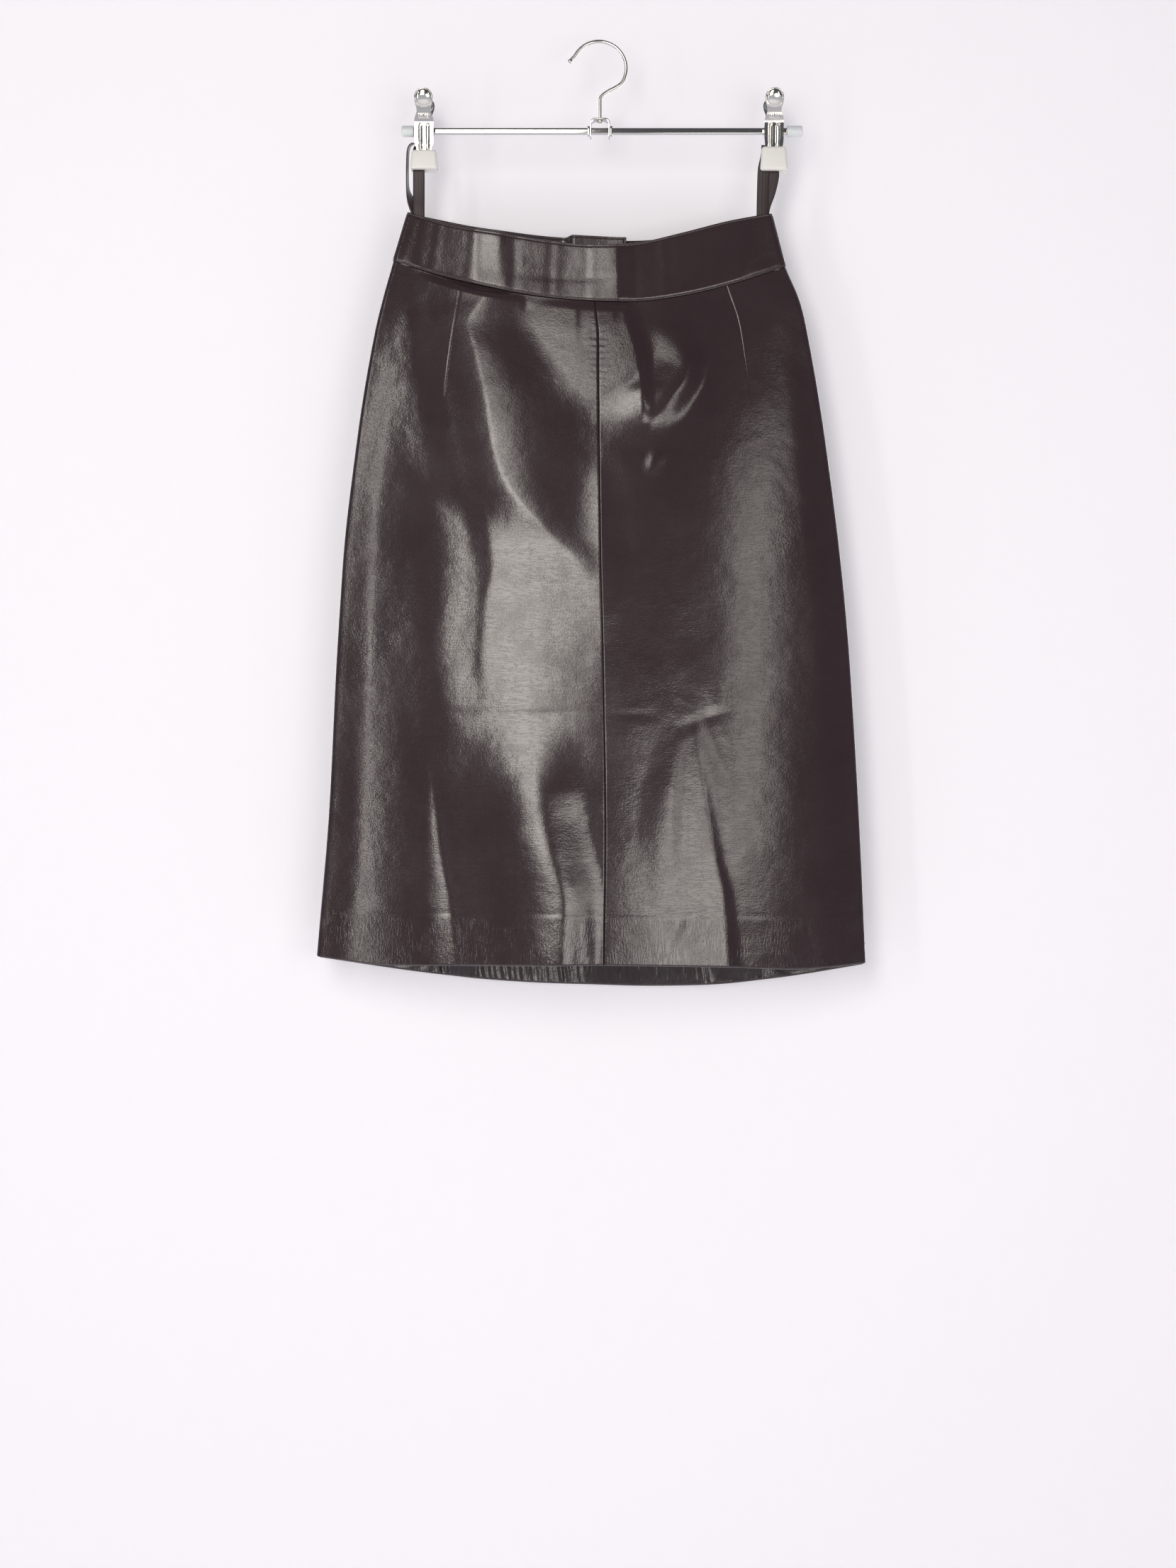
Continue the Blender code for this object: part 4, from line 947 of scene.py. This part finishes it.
def stitchUnit():
    bm = bmesh.new()
    bmesh.ops.create_uvsphere(bm, u_segments=6, v_segments=5, radius=1)
    return toMesh("stitch", bm)


def makeStitches():
    rng, sideways = random.Random(4), (1.0, 0, 0)
    length, line = skirtForm["bandLength"], bandCut["stitchFromEdge"]
    deep = bandCut["grooveDepth"] * stitch["sunk"]
    bands = {  # side, first and last place across, whether an end is lapped
        "stitchesBandFront": ("front", -stitch["to"], stitch["to"], False),
        "stitchesBandBackLeft": ("back", -stitch["to"], lapEnd - line / bandHalf, True),
        "stitchesBandBackRight": ("back", centreBack + line / bandHalf, stitch["to"], False),
    }
    for name, (side, low, high, lapped) in bands.items():
        places, sign = [], -1 if side == "front" else 1
        faces = ((-skirtForm["bandProud"] + deep, sign), (skirtForm["bandInner"] - deep, -sign))
        for down in (-length + line, -bandCut["endInset"] - line):
            for inset, turn in faces:
                rowPoint = lambda across, at: bandPoint(side, across, at, inset, lapped)
                places += sewAcross(rowPoint, low, high, down, 260, turn, rng)
        if side == "back":
            down = np.linspace(-length + 2 * line, -2 * line, 60)
            freeEnd = np.full(len(down), high if lapped else low)
            places += sew(bandPoint(side, freeEnd, down, faces[0][0], lapped), sideways, sign, rng)
        addPiece(name, scatter(name, stitchUnit(), places), [thread])
    places, length = [], closure["zipLength"]
    fromMiddle = closure["zipChannel"] / 2 + stitch["fromZip"]
    down = np.linspace(3.0, length + 6, 300)
    for sideAt in (-1, 1):
        across = centreBack + sideAt * fromMiddle / halfWidth(down)
        places += sew(panelPoint("back", across, down, -0.02), sideways, 1, rng)
    rowPoint = lambda across, at: panelPoint("back", across, at, -0.02)
    low, high = (centreBack + sideAt * fromMiddle / float(halfWidth(length)) for sideAt in (-1, 1))
    places += sewAcross(rowPoint, low, high, length + 7, 40, 1, rng)
    addPiece("stitchesZip", scatter("stitchesZip", stitchUnit(), places), [thread])


makeStitches()
print("stitches ready")


# zip and waist closure

zipLook = {
    "width": 22.0,
    "thick": 0.6,
    "below": 1.7,  # from the panels' outer face to the tape
    "grid": (12, 70),
    "teeth": (20.5, 188.0),  # where they start, under the slider, and stop
    "toothPitch": 2.1,
    "tooth": (2.7, 0.95, 1.15),
    "toothFromMiddle": 0.75,
    "toothProud": 0.35,
}

closurePieces = {  # CAD node, rounding, body
    "zipSlider": ("zip_slider", 0.3, "skirt"),
    "zipPull": ("zip_pull", 0.3, "zip_pull"),
    "waistHook": ("waist_hook", 0.15, "skirt"),
    "waistBar": ("waist_bar", 0.05, "skirt"),
}


def makeZip():
    wide, tall = zipLook["grid"]
    rows = np.array(spread(1.0, closure["zipLength"] + 8, tall))

    def place(column, row, inner):
        down = rows[row]
        off = (column / wide * 2 - 1) * zipLook["width"] / 2
        inset = zipLook["below"] + inner * zipLook["thick"]
        point = panelPoint("back", centreBack + off / halfWidth(down), down, inset)
        return point, np.stack([off, down], axis=-1), {"ribs": np.zeros_like(down)}

    tape = clothWall("zipTape", wide, tall, place)
    addCloth(tape, [zipTapeCloth], ["zip_tape"])
    bm = bmesh.new()
    bmesh.ops.create_cube(bm, size=1, matrix=Matrix.Diagonal((*zipLook["tooth"], 1)))
    bmesh.ops.bevel(bm, geom=bm.edges[:], offset=0.2, segments=1, profile=0.5, affect="EDGES", material=-1)
    tooth, places, side = toMesh("tooth", bm), [], 1
    down, last = zipLook["teeth"]
    while down < last:
        across = centreBack + side * zipLook["toothFromMiddle"] / float(halfWidth(down))
        inset = zipLook["below"] - zipLook["toothProud"]
        here, above = (Vector(panelPoint("back", across, down - lift, inset)) for lift in (0, 1))
        up = (above - here).normalized()
        out = (Vector((0, 1, 0)) - up * up.y).normalized()
        places.append(placed(here, out.cross(up), out, up))
        down, side = down + zipLook["toothPitch"] / 2, -side
    addPiece("zipTeeth", scatter("zipTeeth", tooth, places), [darkNickel], sharp=30)
    for name, (node, radius, body) in closurePieces.items():
        softenedCopy(name, node, darkNickel, radius, body)


makeZip()
print("zip and waist closure ready")


# hanger ribbons

ribbonLook = {"width": 10.1, "thick": 0.5, "steps": 7, "columns": 6, "cup": (0.25, 21)}

# place of each loop's middle and twist of its width, from inside the band, over the clip's jaw and back
ribbonRoutes = {
    "Left": (
        (-156.0, -1.9, -172.0, 0), (-156.0, -1.9, -160.0, 0), (-156.0, -1.6, -146.0, 0),
        (-156.0, -0.65, -128.0, 0), (-156.0, -0.65, -108.0, 0), (-156.0, -0.65, -96.0, 0),
        (-156.0, -0.6, -93.4, 0), (-156.1, -0.4, -91.2, 28), (-157.0, 0.0, -88.9, 60),
        (-160.3, 0.3, -86.9, 70), (-163.8, 0.7, -89.0, 74), (-165.3, 1.2, -94.0, 77),
        (-165.8, 1.9, -104.0, 78), (-166.0, 2.2, -116.0, 78), (-165.4, 2.2, -127.0, 84),
        (-162.2, 1.6, -137.0, 119), (-157.9, 1.1, -147.0, 151), (-156.6, 1.2, -158.0, 157),
        (-156.2, 1.2, -172.0, 157),
    ),
    "Right": (
        (141.6, -1.7, -174.0, 0), (141.6, -1.7, -160.0, 0), (141.5, -1.4, -147.0, 0),
        (141.9, -0.75, -128.0, 0), (142.6, -0.65, -110.0, 0), (144.2, -0.65, -102.0, 0),
        (145.4, -0.65, -96.5, 0), (145.8, -0.65, -92.0, 0), (145.8, -0.65, -89.25, 0),
        (145.8, -0.46, -88.79, 0), (145.8, 0.0, -88.6, 0), (145.8, 0.46, -88.79, 0), (145.8, 0.65, -89.25, 0),
        (145.8, 0.65, -92.0, 0), (146.4, 0.65, -96.5, 0), (148.2, 0.65, -102.0, 0), (150.6, 0.65, -110.0, 0),
        (151.1, 0.65, -115.0, 0), (148.0, 0.8, -129.0, 0), (143.2, 1.0, -143.0, 0), (141.6, 1.3, -158.0, 0),
        (141.6, 1.3, -174.0, 0),
    ),
}


def makeRibbon(hand):
    rows = np.array(ribbonRoutes[hand])
    keys = np.concatenate([[0.0], np.cumsum(np.linalg.norm(np.diff(rows[:, :3], axis=0), axis=1))])
    spans = [np.linspace(a, b, ribbonLook["steps"])[:-1] for a, b in zip(keys, keys[1:])]
    at = np.concatenate([*spans, keys[-1:]])
    x, y, z, twist = (readCurve(keys, rows[:, i], at) for i in range(4))
    route = [Vector(point) for point in zip(x, y, z)]
    carried, wides, faces = Vector((1, 0, 0)), [], []
    for i in range(len(route)):
        heading = (route[min(i + 1, len(route) - 1)] - route[max(i - 1, 0)]).normalized()
        carried = (carried - heading * carried.dot(heading)).normalized()
        wides.append(Matrix.Rotation(math.radians(twist[i]), 3, heading) @ carried)
        faces.append(heading.cross(wides[-1]))
    centres, wides, faces = (np.array([list(item) for item in group]) for group in (route, wides, faces))
    acrossSteps, (cup, cupLength) = ribbonLook["columns"], ribbonLook["cup"]

    def place(column, row, inner):
        share = column / acrossSteps * 2 - 1
        off = share * ribbonLook["width"] / 2
        lift = np.where(inner, 0.5, -0.5) * ribbonLook["thick"]
        lift = lift + cup * (share**2 - 0.5) * np.sin(at[row] / cupLength)
        point = centres[row] + wides[row] * off[:, None] + faces[row] * lift[:, None]
        return point, np.stack([off, at[row]], axis=-1), {}

    mesh = clothWall(f"ribbon{hand}", acrossSteps, len(route) - 1, place)
    addCloth(mesh, [satin], [f"ribbon_{hand.lower()}"])


for hand in ("Left", "Right"):
    makeRibbon(hand)
print("ribbons ready")


# hanger

hanger = {
    "wire": 1.5,
    "wireSides": 20,
    "hookRadius": 23.5,
    "hookArc": (152.0, -50.0),
    "hookTip": (-25.8, -16.4),
    "hookReturn": 12.0,
    "slide": -33.0,  # height where the wire starts to come back in to the stem
    "ball": 1.9,
    "stemX": 0.9,
    "stemEnd": -67.7,
    "rivet": (3.0, 1.2, 0.5),  # radius, head, crown
    "barHeight": -76.5,
    "rounding": {"saddle": 0.35, "bar": 0.7, "ends": 0.25},
}


def arc(centre, radius, start, end, steps):  # points in the XZ plane, with angles in degrees from +X
    angles = [math.radians(angle) for angle in spread(start, end, steps)]
    return [Vector((centre[0] + radius * math.cos(a), 0, centre[1] + radius * math.sin(a))) for a in angles]


def makeHook():
    (first, last), radius, wire = hanger["hookArc"], hanger["hookRadius"], hanger["wire"]
    main = arc((0, wire - radius), radius, first, last, 70)
    down = math.radians(last)
    turn = main[-1] + hanger["hookReturn"] * Vector((math.cos(down), 0, math.sin(down)))
    back = arc((turn.x, turn.z), hanger["hookReturn"], last + 180, 180, 14)[1:]
    x, end, low = hanger["stemX"], hanger["stemEnd"], back[-1].z
    tip = Vector((hanger["hookTip"][0], 0, hanger["hookTip"][1]))
    route = [tip.lerp(main[0], share) for share in (0.3, 0.45, 0.6, 0.8)] + main + back[:-1]
    heading = (main[0] - tip).normalized()
    ball, stations = hanger["ball"], []
    for degrees in (5, 20, 40, 60, 80, 100, 120):
        turned = math.radians(degrees)
        thick = max(ball * math.sin(turned), wire if degrees > 90 else 0)
        stations.append((tip + heading * (ball * 0.5 - ball * math.cos(turned)), thick))
    for point in route:
        slid = smoothStep((hanger["slide"] - point.z) / (hanger["slide"] - low))
        stations.append((point + Vector(((x - back[-1].x) * float(slid), 0, 0)), wire))
    wide, head, crown = hanger["rivet"]
    stations += [(Vector((x, 0, z)), wire) for z in (low, end)]
    drops = ((0.05, 0.9), (0.2, 1), (head * 0.6, 1), (head, 0.9))
    drops += ((head + crown * 0.7, 0.6), (head + crown, 0.2))
    stations += [(Vector((x, 0, end - drop)), wide * share) for drop, share in drops]
    bm = bmesh.new()
    tube(bm, stations, hanger["wireSides"])
    addPiece("hook", inMillimetres("hook", bm), [chrome], ["hook"], sharp=50)


makeHook()
for name in ("saddle", "bar"):
    softenedCopy(name, name, chrome, hanger["rounding"][name])
for hand in ("Left", "Right"):
    radius = hanger["rounding"]["ends"]
    softenedCopy(f"barStop{hand}", f"bar_stop_{hand.lower()}", chrome, radius)
    softenedCopy(f"endCap{hand}", f"end_cap_{hand.lower()}", capPlastic, radius)
print("hook and bar ready")


# clips

clipLook = {
    "x": {"Left": -151.2, "Right": 151.3},
    "sheet": 0.8,
    "headCentre": -51.0,
    "headRadius": 7.95,
    "headTilt": 0.36,
    "dome": (2.1, 0.86),  # height, and share of the head's radius
    "rim": 0.45,
    # place or places, half width, upper and lower end, height
    "ribs": ((-3.8, -1.9, 0.0, 1.9, 3.8), 0.45, -63.7, -67.4, 0.5),
    "flutes": (3.2, 1.35, -73.2, -93.0, 1.0),
    "hole": (1.15, 1.3, 0.6),  # radius, depth, distance above the flute
    "nest": 1.1,  # how much narrower the back plate is, from the neck down
    "neck": -64.0,
}

clipEar = {"from": 7.6, "radius": 5.7, "hole": 3.9, "sides": 24, "place": 7.75, "half": 0.4}

plateShape = {
    "z": (-104, -91, -90, -84, -81.6, -71, -68, -65, -61.7, -58.5, -55, -51),
    "half": (6.8, 6.8, 7.6, 8.2, 8.2, 8.2, 8.2, 7.2, 6.0, 6.4, 7.5, 7.95),
    "standOff": (5.6, 5.6, 5.7, 6.1, 6.4, 7.9, 8.8, 9.9, 11.0, 12.2, 13.4, 14.8),
}


def makePlate(hand, face):
    sign, nest = (-1, 0.0) if face == "Front" else (1, clipLook["nest"])
    headZ, headR, neck, sheet = (clipLook[name] for name in ("headCentre", "headRadius", "neck", "sheet"))
    rows = [headZ + headR * math.cos(math.radians(angle)) for angle in spread(7, 90, 16)]
    rows = np.array(rows + spread(-51.6, -62.6, 14) + spread(-63.2, -68.2, 16) + spread(-69, -100, 44))
    flat = [(share, 0.0) for share in spread(-1, 1, 34)]
    columns = np.array([(-1, 1.0), (-1, 0.6), (-1, 0.25), *flat, (1, 0.25), (1, 0.6), (1, 1.0)])

    def place(column, row, inner):
        z, (share, back) = rows[row], columns[column].T
        onHead = z > headZ
        half = readCurve(plateShape["z"], plateShape["half"], z)
        half = np.where(onHead, np.sqrt(np.maximum(0.5, headR**2 - (z - headZ) ** 2)), half)
        half = half - np.where(z < neck, nest * smoothStep((neck - z) / 3), 0)
        out = readCurve(plateShape["z"], plateShape["standOff"], z)
        out = out + np.where(onHead, (z - headZ) * clipLook["headTilt"], 0)
        x = half * share
        radial = np.hypot(x, z - headZ) / headR
        high, reach = clipLook["dome"]
        detail = high * np.sqrt(np.maximum(0, 1 - (radial / reach) ** 2))
        detail += clipLook["rim"] * dip(radial - 0.95, 0.05) * (z > headZ - 6)
        places, wide, top, end, high = clipLook["ribs"]
        window = smoothStep((top - z) / 0.6) * smoothStep((z - end) / 0.6)
        detail += high * window * np.max([dip(x - at, wide) for at in places], axis=0)
        at, wide, top, end, high = clipLook["flutes"]
        off = np.clip(np.abs(np.abs(x) - at) / wide, 0, 1)
        detail += high * np.sqrt(1 - off**2) * smoothStep((top - z) / 0.8) * (z > end)
        radius, deep, above = clipLook["hole"]
        detail -= deep * (np.hypot(np.abs(x) - at, z - top - above) < radius)
        out = out + detail * (back == 0) - back * (1.3 + 0.3 * (z < -62)) - inner * sheet * (back < 1)
        x = x - np.sign(share) * inner * sheet * (np.abs(share) == 1) * 0.9
        point = np.stack([clipLook["x"][hand] + x, sign * out, z], axis=-1)
        return point, np.stack([x, z], axis=-1), {}

    name = f"clipPlate{hand}{face}"
    mesh = clothWall(name, len(columns) - 1, len(rows) - 1, place)
    addPiece(name, mesh, [chrome], [f"clip_{hand}_{face}_plate".lower()], sharp=55)


def makeEars(hand, face):
    bm = bmesh.new()
    sides, radius, half = clipEar["sides"], clipEar["radius"], clipEar["half"]
    turn, nest = (1, 0) if face == "Front" else (-1, clipLook["nest"])
    for end in (-1, 1):
        x = clipLook["x"][hand] + end * (clipEar["place"] - nest)
        hole = bmesh.ops.create_circle(bm, segments=sides, radius=clipEar["hole"])["verts"]
        outer = bmesh.ops.create_circle(bm, segments=sides, radius=radius)["verts"]
        for vert in outer:  # the ear runs on to the plate's face
            if vert.co.x < 0:
                vert.co.x = -clipEar["from"] if vert.co.x < -2.5 else vert.co.x * 2.4
                vert.co.y = max(-radius, min(radius, vert.co.y * 1.25))
        edges = list({edge for vert in hole + outer for edge in vert.link_edges})
        ring = bmesh.ops.bridge_loops(bm, edges=edges)["faces"]
        grown = bmesh.ops.extrude_face_region(bm, geom=ring, use_keep_orig=True)["geom"]
        added = [item for item in grown if isinstance(item, bmesh.types.BMVert)]
        for vert in hole + outer + added:
            y, z = vert.co.x * turn, vert.co.y
            vert.co = (x + (half if vert in added else -half), y, hanger["barHeight"] + z)
    name = f"clipEars{hand}{face}"
    addPiece(name, inMillimetres(name, bm), [chrome], sharp=40)


springLook = {"wire": 0.6, "sides": 10, "radius": 4.55, "half": 4.6, "turns": 4, "start": 150}


def makeSpring(hand):
    radius, half = springLook["radius"], springLook["half"]
    turned, steps = 360.0 * springLook["turns"] - 120, springLook["turns"] * 36
    middle, coil = Vector((clipLook["x"][hand], 0, hanger["barHeight"])), []
    for i in range(steps + 1):
        angle = math.radians(springLook["start"] + turned * i / steps)
        offset = (half * (2 * i / steps - 1), radius * math.cos(angle), radius * math.sin(angle))
        coil.append(middle + Vector(offset))
    ends = [coil[0] + Vector((0, -2.6, 11)), *coil, coil[-1] + Vector((0, 2.6, 11))]
    bm = bmesh.new()
    tube(bm, [(point, springLook["wire"]) for point in ends], springLook["sides"])
    name, node = f"clipSpring{hand}", f"clip_{hand}_spring".lower()
    addPiece(name, inMillimetres(name, bm), [springSteel], [node], sharp=50)


tipLook = {
    "heights": {"Left": (-93.8, -110.6), "Right": (-91.0, -111.6)},
    "half": 11.0,
    "faces": (1.45, 8.8),  # distance of the near and the far face from the ribbon
    "spread": (0.96, 1.1),  # share of the width at the top and at the foot
    "outer": (0.97, 1.0),  # share of that width on the far face, and how far its top leans in
    "round": 2.3,
}


def makeTip(hand, face):  # a soft shoe over the plate's tongue, fuller towards its foot
    (top, foot), (near, far) = tipLook["heights"][hand], tipLook["faces"]
    (narrow, wide), (taper, lean) = tipLook["spread"], tipLook["outer"]
    middle = (top + foot) / 2
    bm = bmesh.new()
    shape = Matrix.Diagonal((2 * tipLook["half"], far - near, top - foot, 1))
    bmesh.ops.create_cube(bm, size=1, matrix=Matrix.Translation((0, (near + far) / 2, middle)) @ shape)
    for vert in bm.verts:
        low = vert.co.z < middle
        vert.co.x *= wide if low else narrow
        if vert.co.y > near + 1:
            vert.co.y -= 0 if low else lean
            vert.co.x *= taper
        vert.co.x += clipLook["x"][hand]
        vert.co.y *= -1 if face == "Front" else 1
    bmesh.ops.recalc_face_normals(bm, faces=bm.faces)
    bmesh.ops.bevel(
        bm, geom=bm.edges[:], offset=tipLook["round"], segments=5, profile=0.5, affect="EDGES", material=-1
    )
    name, node = f"clipTip{hand}{face}", f"clip_{hand}_{face}_tip".lower()
    addPiece(name, inMillimetres(name, bm), [rubber], [node], sharp=50)


for hand in ("Left", "Right"):
    for face in ("Front", "Back"):
        makePlate(hand, face)
        makeEars(hand, face)
        makeTip(hand, face)
    makeSpring(hand)
print("clips ready")
